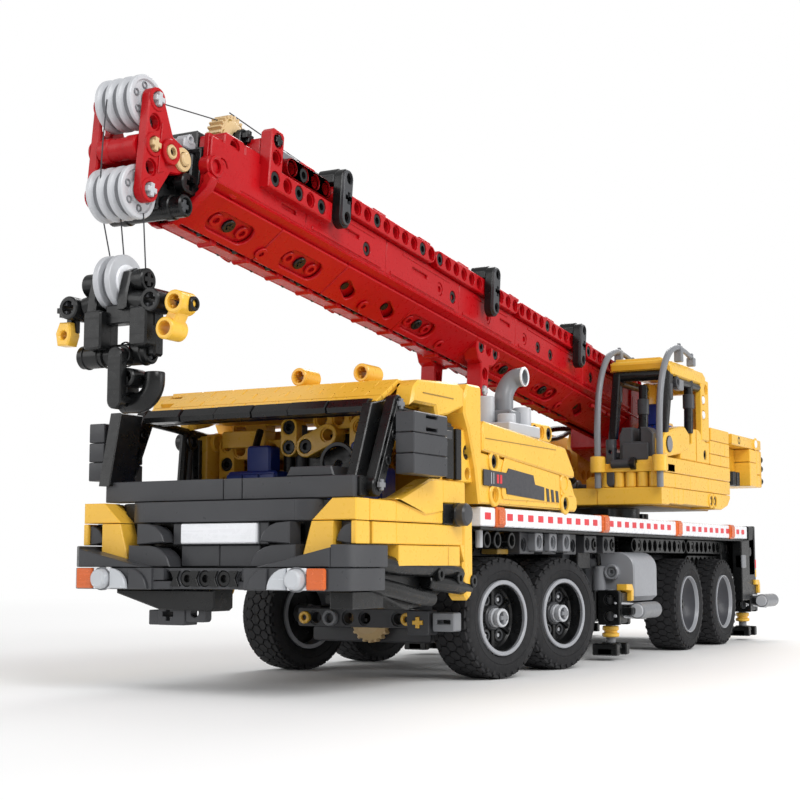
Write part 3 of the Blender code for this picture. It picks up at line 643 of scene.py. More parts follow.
# ============================================================================
# cab front
# ============================================================================
group("front", "chassis", "front_bumper", "front_panel")
for side in both_sides():
    plate("dgrey", "60 22, 60 1, 57.5 -3.6, 54.2 -6.2, 20 -6.6, 20 0.5, 54 0.5, 54 22",
          37.6, 45.3, "Z")
for side in both_sides():
    # bumper row: orange tile, round lamp, quarter lamp, quarter tile
    boxes("orange", "46.3 53.7 -8.2 -6.4 37.9 45.2 0.5")
    boxes("white", "38.2 46.1 -7.4 -6.5 37.8 45.3 0.3")
    turn("lamp", "0 -10.6, 2.6 -10.5, 3.3 -9.9, 3.7 -8.6, 3.9 -7.2, 3.9 -6.4, 0 -6.4",
         42.1, 0, 41.4, "Y")
    turn("mgrey", "3.95 -6.3, 3.95 -8, 4.25 -7.7, 4.25 -6.3", 42.1, 0, 41.4, "Y")
    for mat, x, x_tip, radius, y0, y1, chamfer in (("lamp", 38, 30.4, 7.6, -8.4, -6.5, 0.4),
                                                   ("dgrey", 30, 21.6, 8.2, -7.6, -6.3, 0.3)):
        quarter = arc(x, 37.9, -radius, 7.3, (12, 25, 40, 55, 70, 82))
        plate(mat, [(x, 37.9), (x_tip, 37.9), *quarter, (x, 45.2)], y0, y1, "Y", chamfer)
    # angled cheeks that turn into the middle beam
    plate("dgrey", "21.5 -6.4, 14 -1.6, 14 3, 21.5 3", 37.7, 40.6, "Z")
    plate("dgrey", "21.5 -6.4, 17 -3.4, 17 3, 21.5 3", 40.9, 45.2, "Z")
    # sloping plate over the lamps
    plate("dgrey", "54.4 45.6, 54.4 52.3, 26 45.9, 24 45.6", -6.2, 2.5, "Y", 0.35)
    plate("dgrey", "60 24, 60 1.2, 57.5 -3.4, 54.6 -5.6, 54.6 3, 54 24", 45.6, 53.3, "Z")
    # curved slopes either side of the middle block
    slope = arc(29.5, 53.8, -8.5, 7.4, range(78, 5, -18))
    plate("dgrey", [(33.5, 53.7), (33.5, 61.5), *slope], 1.5, 9, "Y", 0.35)
    slope = arc(28, 45.9, -10.2, 7.4, range(82, 9, -18))
    plate("dgrey", [(36.5, 45.7), (36.5, 53.5), *slope, (17.4, 45.7)], 0.5, 9, "Y", 0.35)
    # corner frame round a dark quarter tile
    plate("yellow", "59.6 61.8, 59.6 69.3, 50 69.3, 41.8 61.8", 2.6, 12, "Y", 0.35)
    plate("yellow", "50.6 61.5, 41.9 61.5, 37.6 46.8, 50.6 50.6", 2.2, 12, "Y", 0.35)
    boxes("yellow", "57.6 59.7 2.6 12 53.6 61.5")
    quarter = arc(57.4, 53.6, -6.4, 7.4, range(80, 7, -18))
    plate("dgrey", [(57.5, 53.6), (57.5, 61), *quarter], 3.8, 11, "Y")
    boxes("dgrey", "50.9 57.4 7.5 13 53.6 61.6")
    # upper row end, rounded
    turn("dgrey", "0 61.8, 9 61.8, 9.3 62.1, 9.3 69.1, 9 69.4, 0 69.4", 33.5, 14.6, 0, "Z", 32)
    boxes("black", "34 46 10.5 16 46 69.3")
# middle beam with pins, bushes between the holes
plate("dgrey", rect(-21.2, 21.2, 37.8, 45.2, 0.6), -1.8, 5.6, "Y", 0.25,
      "-16.8 41.5, -8 41.5, 0 41.5, 8 41.5, 16.8 41.5")
for x in (-8, 0, 8):
    pin(x, -1.8, 41.5, "Y", -1)
for x in (-12.6, -4, 4, 12.6):
    plate("black", [(x - 2, 44.2), (x + 2, 44.2), (x + 0.8, 41.5), (x + 2, 38.8),
                    (x - 2, 38.8), (x - 0.8, 41.5)], -2.7, -1.7, "Y", 0.1)
# middle block and sign row
boxes("dgrey", """-17 -0.15 7 14 45.8 53.4, 0.15 17.6 7 14 45.8 53.4,
      -20.6 21.4 6.6 14 53.7 61.5, -33.3 33.3 5.2 14 61.8 69.4""")
boxes("white", "-16.2 17.2 5 6.5 54 61.2 0.4")
boxes("mgrey", "-16.6 17.6 6.1 6.7 53.8 61.4 0.2")
boxes("black", "-48 48 12 19.5 40 69.3")
# top row of the front, three bricks with seams
boxes("dgrey", """-54.6 -0.2 8.8 17 69.8 77.5, 0.1 8 8.8 17 69.8 77.5,
      8.3 54.6 8.8 17 69.8 77.5""")
for side in both_sides():
    bar("black", 56.2, 19.6, 73.8, 3.6, 4.6, "X", 1.6, 0.4)
    boxes("black", "54.2 55.8 12 22 70.2 77.2 0.3")
# towing bracket under the bumper
plate("black", "-43 37.4, -43 36, -23 30.2, 0 29.8, 1.4 31, 1.4 37.4", 2, 14, "Y", 0.5)
plate("dgrey", rect(-25, -13, 24.6, 32.6, 0.5), 4, 12, "Y", 0.25, "-20.5 28.6 x")
plate("dgrey", rect(-14, -4, 25.8, 35, 1.4), 4.6, 8.4, "Y", 0.25, "-9 29.2 1.7")
plate("dgrey", rect(-30, -24.6, 24.6, 30, 0.5), 5, 11, "Y")

# ============================================================================
# cab sides, roof, pillars and mirrors
# ============================================================================
group("cab", "chassis", "cab_body", "cab_roof", "windscreen_frame", "mirror_left", "mirror_right")
for side in both_sides():
    left = side > 0
    # sill rows, split as bricks
    plate("yellow", "12.2 61.8, 30.5 61.8, 30.5 69.2, 12.2 69.2", 51.5, 59.8, "X", 0.35)
    plate("yellow", rect(30.8, 83.6, 61.8, 69.2, (2.2, 0.3, 0.3, 0.3)), 51.5, 59.8, "X", 0.35)
    plate("yellow", "14 53.7, 30.6 53.7, 30.6 61.4, 14 61.4", 51.5, 59.8, "X", 0.35)
    plate("yellow", "30.9 53.7, 83.4 53.7, 83.4 61.4, 30.9 61.4", 51.5, 59.8, "X", 0.35)
    plate("yellow", "32.4 45.8, 80.8 45.8, 80.8 53.4, 32.4 53.4", 52.5, 60, "X", 0.35)
    # thin strip of darker yellow: painted shade along the seam
    boxes("ydark", "59.2 60.1 70.6 71.2 46.2 53 0.05")
    # sloping sill top and its tile
    plate("yellow", "26 69.5, 33 70.4, 55 78, 58 78.4, 66 78.4, 66 66, 52 64.4, 30 69.4",
          53.5, 60.6, "X", 0.7)
    plate("yellow", rect(66.3, 85, 69.6, 78.2, (0.6, 0.6, 0.3, 0.3)), 53.5, 60.2, "X", 0.4)
    boxes("yellow", "52 59.6 56 84 61.9 69.2")
    # round grey knob under the tile
    boxes("black", "58 60.4 66.5 84 61.6 69.3")
    bar("black", 61, 76.8, 65.4, 4.6, 2.2)
    turn("dgrey", "0 66, 3.6 65.7, 4.3 64.9, 4.4 63.4, 4.3 61.6, 0 61.6", 0, 76.8, 65.4)
    # rear post with its pointed tip
    plate("yellow", """84.3 69.2, 91.6 69.2, 92.2 62, 92.4 38, 90.6 34, 88.3 32.6, 86.2 34.2,
          84.9 38.4, 84.3 45""", 51.8, 59.9, "X", 0.9)
    plate("yellow", "80.8 54, 84.1 54, 84.1 47.5, 82.3 50.4", 55, 60.2, "X", 0.2)
    # rear corner post beside the roof
    plate("yellow", """85.4 105.6, 86.2 113.4, 89 117.2, 99.6 117.4, 100.6 116.4, 100.6 70.4,
          98.6 70.4, 95.6 84, 89.4 99.4""", 50.6, 59.9, "X", 0.8)
    plate("yellow", "69.5 78.6, 99 78.6, 99 99.2, 80 99.2, 69.5 99.6", 52, 57.4, "X", 0.4,
          "92 90.4, 93 82 2.4")
    pin(57.4, 92, 90.4)
    # roof corner: rounded slab that folds down over the door
    plate("yellow", """41 104.6, 43.8 111.8, 48 114.6, 80 116.6, 84.4 114.8, 84.4 107.6,
          72 103.6, 62 101.6, 60.5 105.6, 44 105.6""", 52.2, 60.2, "X", 0.9)
    boxes("brass", "59.6 60.5 50 75 109.7 110.1 0.05")
    # slanted windscreen pillar: plate, thin beam and bushes
    if left:
        plate("black", "13.5 75.6, 25.5 104.2, 41 107.4, 30 75.6", 48.5, 52.6, "X", 0.4)
    else:
        plate("black", "6.4 76, 12.6 104.4, 26 104.4, 20.6 76", 51, 56.4, "X", 0.4)
    beam("black", 20.4, 74.4, 34.6, 104.2, 54.6, 58.6, "X", "xooox", 3.5)
    plate("black", oval(20.4, 74.4, 34.6, 104.2, 2), 58.3, 59.2, "X", 0.2)
    axle("mgrey", 59.4, 20.4, 74.4, 1.4, "X", 2)
    axle("mgrey", 59.4, 34.6, 104.2, 1.4, "X", 2)
    for t in (0.3, 0.62):
        bar("black", 59.5, 20.4 + 14.2 * t, 74.4 + 29.8 * t, 1.9, 1.2, "X", 1)
    tube("mgrey", curve("60 33.6 99.8, 60.2 31.4 94, 60 30 90.8"), 1, 8)
    # door frame bars behind the mirror
    tube("black", "56.5 34 103, 56.5 78 99.6", 1.6, 10)
    tube("black", "56.5 58.5 79, 56.5 60.5 101", 1.9)
    tube("dgrey", "57.5 63.8 79, 57.5 65 100", 1.7)
    boxes("black", "54 57.8 66.8 69.2 79 98")
    # mirror: three stacked blocks, two slots in the top one; the right-hand one is further forward
    front, rear, slot = (28.3, 54.4, 37.5) if left else (14.6, 38.4, 22)
    slots = [rect(slot, slot + 9, 99, 100.1, 0.3), rect(slot, slot + 9, 94.4, 95.6, 0.3)]
    for z0, z1, holes in ((78.6, 85.8, ()), (86, 93.3, ()), (93.5, 100.9, slots)):
        plate("dgrey", rect(front, rear, z0, z1, 0.5), 60.6, 68.3, "X", 0.35, holes)
    if left:
        boxes("mgrey", "58.6 64 54.6 60.5 95.6 99.6")
        boxes("dgrey", "57.2 63 60.8 68.8 93.6 97")
        bar("dgrey", 60.8, 62, 91.8, 1.8, 8, "Y")
        boxes("black", "57.2 61.4 54.6 58 82 94")
    else:
        bar("black", 58.6, 33, 97.6, 1.9, 6, "X", 0.9)
    # black bars behind the mirror
    boxes("black", "56.6 59.2 71 77.4 79 99.4, 56.6 59.2 79.6 84.2 79 98.8")
# windscreen bar across: flat sloping segments with small steps between them
SEGMENTS = rows("-50 -33.2, -33 -16.8, -16.6 0, 0.2 16.6, 16.8 33, 33.2 50")    # x0, x1
for i, (x0, x1) in enumerate(SEGMENTS):
    step = 0.7 * (i % 2)
    plate("black", [(25.2 + step, 101.3), (24.6 + step, 103.2), (27.4 + step, 106.2),
                    (33.5, 106.4), (33.5, 101.3)], x0, x1, "X", 0.35)
tube("black", "-50 36.5 103, 50 36.5 103", 2)


def slab(mat, x0, x1, y0, z0, y1, z1, thick=1.6):
    """Sloping slab whose top runs from (y0, z0) to (y1, z1)."""
    n = Vector((0, -(z1 - z0), (y1 - y0))).normalized()
    plate(mat, [(y0, z0), (y1, z1), (y1 - n.y * thick, z1 - n.z * thick),
                (y0 - n.y * thick, z0 - n.z * thick)], x0, x1)


# front slope of the roof: four staggered courses of tiles
for i in range(7):
    for j in range(4):
        x = -52.2 + 14.92 * i + (7.4 if j % 2 else 0)
        x0, x1 = max(-52.1, x), min(52.1, x + 14.7)
        if x1 - x0 > 1:
            low, high = j / 4, (j + 1) / 4
            slab("yellow", x0, x1, 29.6 + 16 * low + 0.1, 105.4 + 9.2 * low,
                 29.6 + 16 * high - 0.1, 105.4 + 9.2 * high)
boxes("red", "6 51.8 30.5 41 103.5 104.7")
# darker yellow under the roof and beneath the sloping tiles: painted shade
boxes("ydark", "-51.8 51.8 33.5 84 104.9 108")
slab("ydark", -51.8, 51.8, 31, 104.2, 45.6, 112.6, 1.2)
# roof top with two beacons
for i in range(7):
    x0 = -52 + 14.9 * i
    for j in range(2):
        box("yellow", x0, x0 + 14.7, 45.8 + 19.4 * j, 65 + 19.4 * j, 113.2 + j * 0.9,
            115 + j * 0.9, 0.3)
boxes("yellow", "-50.4 50.4 84.9 100.4 104.4 117.2 1")
for x in (-15, 15):
    turn("yellow", "2.45 -5.6, 2.6 -6, 3.4 -6, 3.8 -5.6, 3.8 5.6, 3.4 6, 2.6 6, 2.45 5.6",
         x, 88, 123.7, "Y", 24)
    # darker yellow insert in the beacon's bore: painted shade in the bore
    plate("ydark", ring(x, 123.7, 2.5, 16), 83.4, 92.6, "Y", 0.05, [(x, 123.7, "x")])
    box("yellow", x - 2.4, x + 2.4, 84.6, 91.4, 117, 120.8)
# mudguard mouldings below the sill
for side in both_sides():
    tube("black", curve("55 12 49, 56.6 34 46, 56.8 56 45.2, 56.8 78 44.4, 56 94 40.5"), 3.3, 14)
    tube("black", curve("54 14 41, 56 36 37.5, 56.2 54 34.8, 56 64 33.8"), 3, 14)
    tube("black", curve("56 60 40, 57.6 76 38.6, 57.4 92 37.2"), 2.9)
    for y in (64, 80, 92):
        bar("black", 58.6, y, 42.8 - (y - 64) * 0.1, 2.5, 4.4, "X", 1.1)
    plate("black", "22 38, 26 53, 32 53, 32 45.4, 84 45.4, 84 38, 64 31, 50 30",
          44, 53.5, "X", 0.6)
    if side > 0:
        boxes("black", "46 55 8 30 31.2 37.2")

# ---- inside the cab ----------------------------------------------------------
group("interior", "chassis")
for seat_x, rest_x in ((-21.5, -19.5), (26, 29)):
    plate("blue", rect(seat_x - 12, seat_x + 12, 62, 83.6, 1.8), 58, 70, "Y", 0.8)
    plate("blue", rect(rest_x - 6, rest_x + 5.4, 81.6, 93.8, 1.6), 60, 68, "Y", 0.8)
    box("blue", seat_x - 12, seat_x + 12, 36, 60, 62, 69, 1.2)
    for k in range(3):
        x0 = seat_x - 11.6 + 7.9 * k
        box("blue", x0, x0 + 7.4, 57, 58.4, 70, 82.4, 0.5)
    tube("black", [(seat_x - 4, 64, 88), (seat_x - 4, 70, 101)], 1.5, 8)
# console and steering wheel
plate("dgrey", "20.8 78, 22.8 81.6, 40.2 81.6, 41.4 78", 18, 34, "Y", 0.5)
turn("black", "6.4 -0.8, 7.6 -0.8, 7.9 0, 7.6 0.8, 6.4 0.8, 6.1 0", 31, 38, 84, "Y", 24)
tube("black", "31 34 80, 31 39 84.4", 1.4, 10)
bar("black", -11.3, 70, 90, 2.4, 24, "Z")
bar("dgrey", -5.6, 70, 90, 2.4, 24, "Z")
boxes("black", "-8 24 71 73 70 98")
# yellow frame of beams inside
beam("yellow", -55, 82, -55, 98, 80, 87.6, "Y", "opo")
plate("yellow", rect(-50, -33, 99.6, 107.6, 1), 84.6, 92.4, "Y", 0.25, "-46 103.6")
plate("yellow", rect(-47.5, -26, 94.6, 101.5, 1), 74, 82, "Y")
beam("yellow", -40, 93.6, -16, 93.6, 76, 83.8, "Y", "oooo")
beam("yellow", -46.6, 72, -46.6, 96, 76, 83.8, "Y", "oopo")
beam("yellow", -8, 101, -8, 93, 64, 71.6, "Y", "pp")
beam("yellow", 0.5, 93, 10.5, 97.2, 63, 70.6, "Y", "po", 4.4)
beam("yellow", 14, 95, 30, 95, 72, 79.8, "Y", "ooo")
beam("yellow", 6, 103.5, 38, 103.5, 66, 73.8, "Y", "ooooo")
beam("yellow", 26, 99.6, 26, 91.6, 62, 69.6, "Y", "oo", 4.6)
# inner frame and back plate in darker yellow: painted shade inside the cab
beam("ydark", -44, 88, 44, 88, 88, 96, "Y", "o" * 12)
plate("ydark", rect(-50, 50, 69, 103, 0.6), 97, 100, "Y", 0.25,
      [rect(-34, -14, 84, 98, 1), rect(14, 34, 84, 98, 1)])
bar("yellow", -55.5, 76, 97.2, 3.9, 10, "X", 2.4)
bar("black", -57.5, 63, 96.8, 3.6, 7, "X", 2.2)
boxes("black", "-55 55 18 84 52.5 56.5, -52 52 17.5 26 56.8 69.5")

# ============================================================================
# engine cover, exhaust
# ============================================================================
group("engine", "chassis", "engine_cover", "exhaust_pipe")
BOSSES = rows("113 88 1, 113.5 74.5 0, 186.6 82.6 1, 187.4 73.4 1")     # y, z, 1 with a pin
plate("yellow", """101 101.6, 103 103.6, 186.4 98.4, 196.2 88.2, 196.2 85.4, 190 85.4,
      101 91.8""", -60.4, 60.4, "X", 0.7)
for side in both_sides():
    boxes("brass", "60 60.7 103 175 96.6 96.9 0.05")
    # side panel with bosses at its corners
    plate("yellow", """101.2 70.6, 190 70.6, 200.4 70.2, 202.6 72, 202.4 76.2, 199.4 78.6,
          195.4 84.6, 101.2 91.2""", 52, 59, "X", 0.6, [(y, z) for y, z, _ in BOSSES])
    for y, z, pinned in BOSSES:
        turn("yellow", "3.05 58.8, 3.05 59.6, 3.2 59.9, 4.6 59.9, 4.9 59.5, 4.9 58.8",
             0, y, z, "X", 24)
        if pinned:
            pin(59.6, y, z)
    # raised centre panels
    plate("yellow", "120.5 84.6, 123.5 90.2, 181 85.9, 181 73.6, 122 73, 120.5 75.2",
          58.9, 59.6)
    plate("yellow", "182.4 85.6, 191.6 84.9, 195.6 79, 197 77, 182.4 77.2", 58.9, 59.5)
    # sticker: stepped dark field and three slanted bars
    plate("decal", """102.6 84.4, 124.5 83.9, 126.4 85.9, 151.5 84.3, 153.2 80.4, 163 79.7,
          163 73.9, 124.5 75.3, 124 77.6, 102.6 78""", 59.55, 59.95, "X", 0.05)
    for k in range(3):
        y, drop = 165.4 + 5.2 * k, 0.3 * k
        plate("decal", [(y, 79.4 - drop), (y + 2.6, 79.2 - drop), (y + 3.6, 73.6),
                        (y + 1, 73.7)], 59.55, 59.9, "X", 0.05)
    for k in range(2):
        box("redmark", 59.7, 60.1, 114.6 + 3 * k, 116.4 + 3 * k, 79.2, 82.8, 0.05)
        box("lgrey", 59.7, 60.05, 109.2 + 2.2 * k, 109.7 + 2.2 * k, 78.8, 83.4, 0.05)
# front and rear walls, seams and a row of ribs on top; the rear wall, seams and ribs are darker
# yellow, painted shade
plate("yellow", "103 70.6, 103 99, 106 99, 106 70.6", -52, 52, "X", 0.3)
plate("ydark", "190 70.6, 190 84.8, 193 84.8, 196 70.6", -52, 52, "X", 0.3)
for x in (-36, -12, 12, 36):
    box("ydark", x - 0.4, x + 0.4, 106, 186, 100.6, 101, 0.05)
for k in range(9):
    box("ydark", -34, 34, 126 + 6 * k, 129 + 6 * k, 100.9 - 0.36 * k, 102.9 - 0.36 * k, 0.3)
# exhaust: round blocks on a base, an elbow turned outwards with a light rim
boxes("lgrey", "37 57 134 166 101 106.2 0.5")
for x, y, top in ((41, 144, 118.5), (51, 144, 110.5), (41, 160, 110.5), (51, 160, 114.5)):
    bar("lgrey", x, y, (101.5 + top) / 2, 3.95, top - 101.5, "Z", 2.4, 0.4)
boxes("mgrey", "40 52 146 158 105.8 112.6 0.6")
elbow = [(46 + 5.6 * (1 - math.cos(t)), 152 + 3.4 * math.sin(t), 119 + 8.4 * math.sin(t))
         for t in map(math.radians, range(12, 91, 13))]
tube("mgrey", [(46, 152, 108), (46, 152, 119), *elbow, (54.6, 155.6, 127.6)], 4.1, 20, 3.1)
turn("white", "3.15 -0.3, 3.3 0.15, 4.1 0.15, 4.3 -0.1, 4.3 -0.7, 3.15 -0.7",
     54.6, 155.6, 127.6)
# beams behind the engine cover
beam("yellow", 181, 106, 197, 106, 40, 47.8, "X", "pop")
beam("yellow", 181, 106, 197, 106, -47.8, -40, "X", "pop")
for side in both_sides():
    tube("black", "34 190 92, 34 214 92", 3)
    bar("dgrey", 40, 199, 86, 3.6, 12, "X", 2)

# ============================================================================
# side rails
# ============================================================================
RAIL_JOINTS_Y = (101.2, 132.6, 220.6, 308.6, 396.6, 477.2)
RAIL_LAMPS_Y = (118, 236, 345, 443)
for side in both_sides((1, -1)):
    name = SIDE_NAME[side]
    group("rail_" + name, "chassis", "side_rail_" + name)
    for y0, y1 in zip(RAIL_JOINTS_Y, RAIL_JOINTS_Y[1:]):
        box("white", 51.4, 59.3, y0, y1 - 0.25, 61.7, 69.3, 0.45)
    for k in range(35):
        y = 104.5 + 10.6 * k
        if all(abs(y + 2.6 - lamp_y) > 6.4 for lamp_y in RAIL_LAMPS_Y):
            box("redmark", 59.15, 59.5, y, y + 5.3, 64.4, 67.2, 0.05)
    for y in RAIL_LAMPS_Y:
        box("orange", 54, 60.3, y - 4, y + 4, 61.4, 69.7, 0.6)
        box("orange", 60.1, 60.9, y - 3.1, y + 3.1, 62.4, 68.6, 0.5)
    boxes("black", "51.6 58.6 102 476 60.2 61.5")

# ============================================================================
# chassis, axles, tank, outrigger housings
# ============================================================================
group("under", "chassis", "chassis_frame", "front_axle_carrier", "rear_axle_carrier", "fuel_tank",
      "rear_bumper", "outrigger_box_front", "outrigger_box_rear")
for side in both_sides():
    # longitudinal beams with their holes
    for k in range(5):
        y = 36 + 88.2 * k
        beam("black", y, 46, y + 80, 46, 12.2, 20, "X", "opooxopooxo")
        beam("black", y, 54.2, y + 80, 54.2, 12.2, 20, "X", "oopoooopooo")
    # grey blocks with holes that hang under the rail
    for y in (160.5, 184.6, 208.6):
        plate("dgrey", rect(y - 7.6, y + 7.6, 50.9, 60.3, 0.5), 42, 52.6, "X", 0.25,
              [(y - 3.6, 55), (y + 3.8, 55)])
    for y in (170.5, 196.8, 232.5, 256.5):
        plate("dgrey", rect(y - 7.8, y + 7.8, 51.8, 60, 0.5), 42, 53.4, "X", 0.25,
              [(y - 4, 55.9), (y + 4, 55.9)])
        bar("black", 53, y + 4, 55.9, 2.3, 2, "X", 1.4)
    for y in (166, 181.5, 197):
        plate("mgrey", rect(y - 4, y + 4, 52.2, 60.2, 0.6), 50, 56, "X", 0.35, [(y, 56.2)])
    plate("dgrey", rect(222, 246, 36, 60, 0.6), 36, 43.6, "X", 0.25,
          "226.4 54, 234 54, 241.6 54, 226.4 46")
    beam("black", 300, 56.2, 380, 56.2, 43, 50.6, "X", "opoooxooopo")
    beam("black", 388.4, 56.2, 468, 56.2, 43, 50.6, "X", "opoooxooopo")
    beam("black", 396, 47.6, 460, 47.6, 40, 47.6, "X", "o" * 9)
    # posts, bushes and a beam over the front wheels
    tube("mgrey", "47 104 52, 47 104 60", 2.2)
    tube("lgrey", "53 112 53.2, 53 112 61", 1.5, 10)
    for y in (118, 128, 142):
        bar("black", 50, y, 56.5, 3.6, 7.8, "X", 2.3)
    beam("black", 104, 57, 152, 57, 38, 45.6, "X", "opooopo")
    boxes("brass", "40 47.6 141 152 50.8 53")
# deck between the rails
for k in range(6):
    box("black", -50.8, 50.8, 202 + 46 * k, 247.5 + 46 * k, 60.4, 65.8, 0.5)
for k in range(8):
    box("dgrey", -50, -30.2, 206 + 33 * k, 237 + 33 * k, 65.8, 67.4, 0.35)
    box("dgrey", 30.2, 50, 206 + 33 * k, 237 + 33 * k, 65.8, 67.4, 0.35)
plate("black", rect(-28, 28, 336, 408, 4), 65.6, 69.2, "Z", 0.4, [(0, TURNTABLE_Y, 17)])
boxes("black", "-50.4 50.4 452 476.6 40.2 60.3 0.5, -47.8 47.8 230 246 44.2 60.3 0.5")
for side in both_sides():
    tube("dgrey", curve("30 246 50, 34 300 48, 33 340 50, 30 452 50"), 1.8, 10)
# front axles: plates, bracket with bores, tan bevel gear
for y in (130.7, 194.7):
    plate("dgrey", rect(-28.8, 28.8, 14.2, 20.2, 1.2), y - 14.2, y + 14.2, "Y", 0.4)
    plate("dgrey", rect(-26, 26, y - 13, y + 13, 3), 13.9, 14.3, "Z", 0.1,
          [(x, y + d, 2.4) for x in (-20, 0, 20) for d in (-8, 0, 8)])
    plate("dgrey", rect(-28.6, 28.6, 29.2, 33.4, 0.8), y - 4.8, y + 4.8, "Y", 0.3)
plate("dgrey", rect(-28, 28, 20.6, 28.2, 1.2), 103.4, 109.6, "Y", 0.25,
      "-19.5 24.3, -3.6 24.3, 4.4 24.3, 20 24.3")
bar("mgrey", -11.6, 102.6, 24.3, 3.4, 2.4, "Y", 2)
for x in (-24.4, 24.6):
    bar("yellow", x, 103, 24.3, 2.6, 2, "Y", 1.2)
with inside(axes((2, 113.4, 23.5), (1, 0, 0), (0, 0, 1), (0, -1, 0))):
    gear("tan", 0, 0, 9.6, -1.6, 1.8, "Z", 20)
    turn("tan", "2.5 1.8, 8.6 1.8, 6 3.6, 2.5 3.6", 0, 0, 0, "Z", 24)
axle("black", 2, 112, 23.5, 12, "Y")
plate("dgrey", rect(-14, 14, 113, 211.6, 1.5), 20.4, 33.6, "Z", 0.5)
for y in (146, 162.7, 180):
    plate("black", ring(0, y, 5.2, 20), 33.4, 34.4, "Z", 0.2)
for side in both_sides():
    beam("dgrey", 150, 24.4, 182, 24.4, 14, 18, "X", "oxoxo")
# gearbox block and a slotted brick by the left front wheel
plate("dgrey", rect(31, 41, 18.6, 28.4, 1), 91, 99, "Y", 0.4, "36 23.6 x")
plate("yellow", plus(36, 23.6, 2.2, 0.8), 90.4, 97, "Y", 0.1)
plate("mgrey", rect(42, 51.6, 20.2, 27.6, 0.8), 92, 98.6, "Y", 0.4,
      [rect(43.8, 49.8, 23.2, 24.8, 0.4)])
# rear axles
for side in both_sides():
    beam("dgrey", 350, 24.6, 438, 24.6, 14.4, 22, "X", "oxoooooooxoo")
    for y in REAR_AXLES_Y:
        bar("dgrey", 31.2, y, WHEEL_Z, 5.6, 17.4, "X", 2.5)
        axle("black", 42, y, WHEEL_Z, 26, "X", 2.3)
plate("dgrey", rect(-14, 14, 346.5, 445.6, 1.5), 16.2, 33.4, "Z", 0.5)
for y in REAR_AXLES_Y:
    bar("dgrey", 0, y, 24.7, 8.4, 30)
    box("dgrey", -30, 30, y - 5.8, y + 5.8, 26.5, 33)
# drive shaft
tube("mgrey", "0 214 37.5, 0 346 30", 2.3)
bar("mgrey", 0, 216, 37.4, 4.2, 9, "Y", 2.2)
# fuel tank, on the left
plate("tank", [(38.4, 28.2), (57, 28.2), (59.8, 30.6), *arc(51.8, 44.5, 8, 8, range(0, 91, 10)),
               (38.4, 52.5)], 274.4, 307.8, "Y", 0.7)
bar("tank", 48.4, 273.6, 42.6, 3.9, 3.6, "Y", 2.6, 0.4)
bar("mgrey", 48.4, 273.6, 42.6, 2.5, 2.4, "Y", 0.9)
bar("tank", 41.4, 274, 37.6, 3.4, 16, "Z", 0, 0.6)
boxes("tank", "34 40.5 273 284 32 49.6 0.6")
boxes("mgrey", "24 38.2 276 306 30 51.8 0.6")
tube("black", curve("41.4 274 46, 41 272 52, 38 266 56, 30 262 57"), 1.3, 8)
# the other side carries a tool box of the same length
plate("dgrey", rect(-59.6, -38.4, 28.4, 52.4, 1.2), 274.4, 307.8, "Y", 0.5)
boxes("mgrey", "-60.2 -59.4 279 285 44 47 0.2, -60.2 -59.4 297 303 44 47 0.2")
plate("black", rect(278, 304, 31, 50, 1.5), -60, -59.4, "X", 0.15)
# rear bumper with lamps
plate("black", rect(-60, 60, 38.8, 69.6, 1.2), 477.8, 489.4, "Y", 0.4,
      [rect(-30, 30, 46, 54, 2), (-44, 60), (-36, 60), (36, 60), (44, 60)])
for side in both_sides():
    plate("black", "462 24.6, 492 24.6, 492 69.8, 488 69.8, 486 62, 462 60", 54, 60, "X", 0.5,
          "480 54 2.4")
    boxes("redmark", "53 60.2 490.2 492.6 43.6 49.4 0.4")
    boxes("yellow", "53 60.2 490.2 492.6 38.2 43.3 0.4")
    boxes("mgrey", "56 60.4 462 470 44 52 0.4")
    for x in (20, 34):
        turn("redmark", "0 2, 2.6 1.9, 3.5 1, 3.6 0, 0 0", x, 490.6, 42.4, "Y", 20)
    bar("black", 50, 491, 34, 2.6, 5, "Y", 1.3)
plate("black", rect(-56, 56, 56.2, 65.8, 1), 489.6, 492.4, "Y", 0.3,
      [(x, 61) for x in range(-48, 49, 8)])
for x in range(-24, 25, 16):
    box("dgrey", x - 7, x + 7, 489.4, 491.4, 40, 45, 0.4)
# outrigger housings
OUTRIGGERS = (("front", 261), ("rear", 488))    # name, y
for _, y in OUTRIGGERS:
    for y0, y1 in ((-9, -4.6), (4.6, 9)):
        plate("black", rect(-43.8, 43.8, 18.2, 33.4, 0.8), y + y0, y + y1, "Y", 0.3,
              [(x, 25.8) for x in range(-36, 37, 8)])
    box("black", -43.8, 43.8, y - 4.5, y + 4.5, 30.2, 33.4)
    box("black", -43.8, 43.8, y - 4.5, y + 4.5, 18.2, 20.9)

# toothed ring under the superstructure
group("turntable", "chassis")
for i in range(40):
    with inside(Matrix.Translation((0, TURNTABLE_Y, 0))
                @ Matrix.Rotation(2 * math.pi * i / 40, 4, "Z")):
        boxes("black", "27.6 30.4 -1.1 1.1 69.6 73.8 0.2")
turn("black", "22.5 69.2, 28 69.2, 28.2 69.5, 28.2 73.6, 27.6 74, 22.5 74",
     0, TURNTABLE_Y, 0, "Z", 64)
turn("dgrey", "14.5 76.8, 14.5 77.2, 23.6 77.2, 24.4 76.8, 24.4 74.4, 14.5 74.4",
     0, TURNTABLE_Y, 0, "Z", 64)

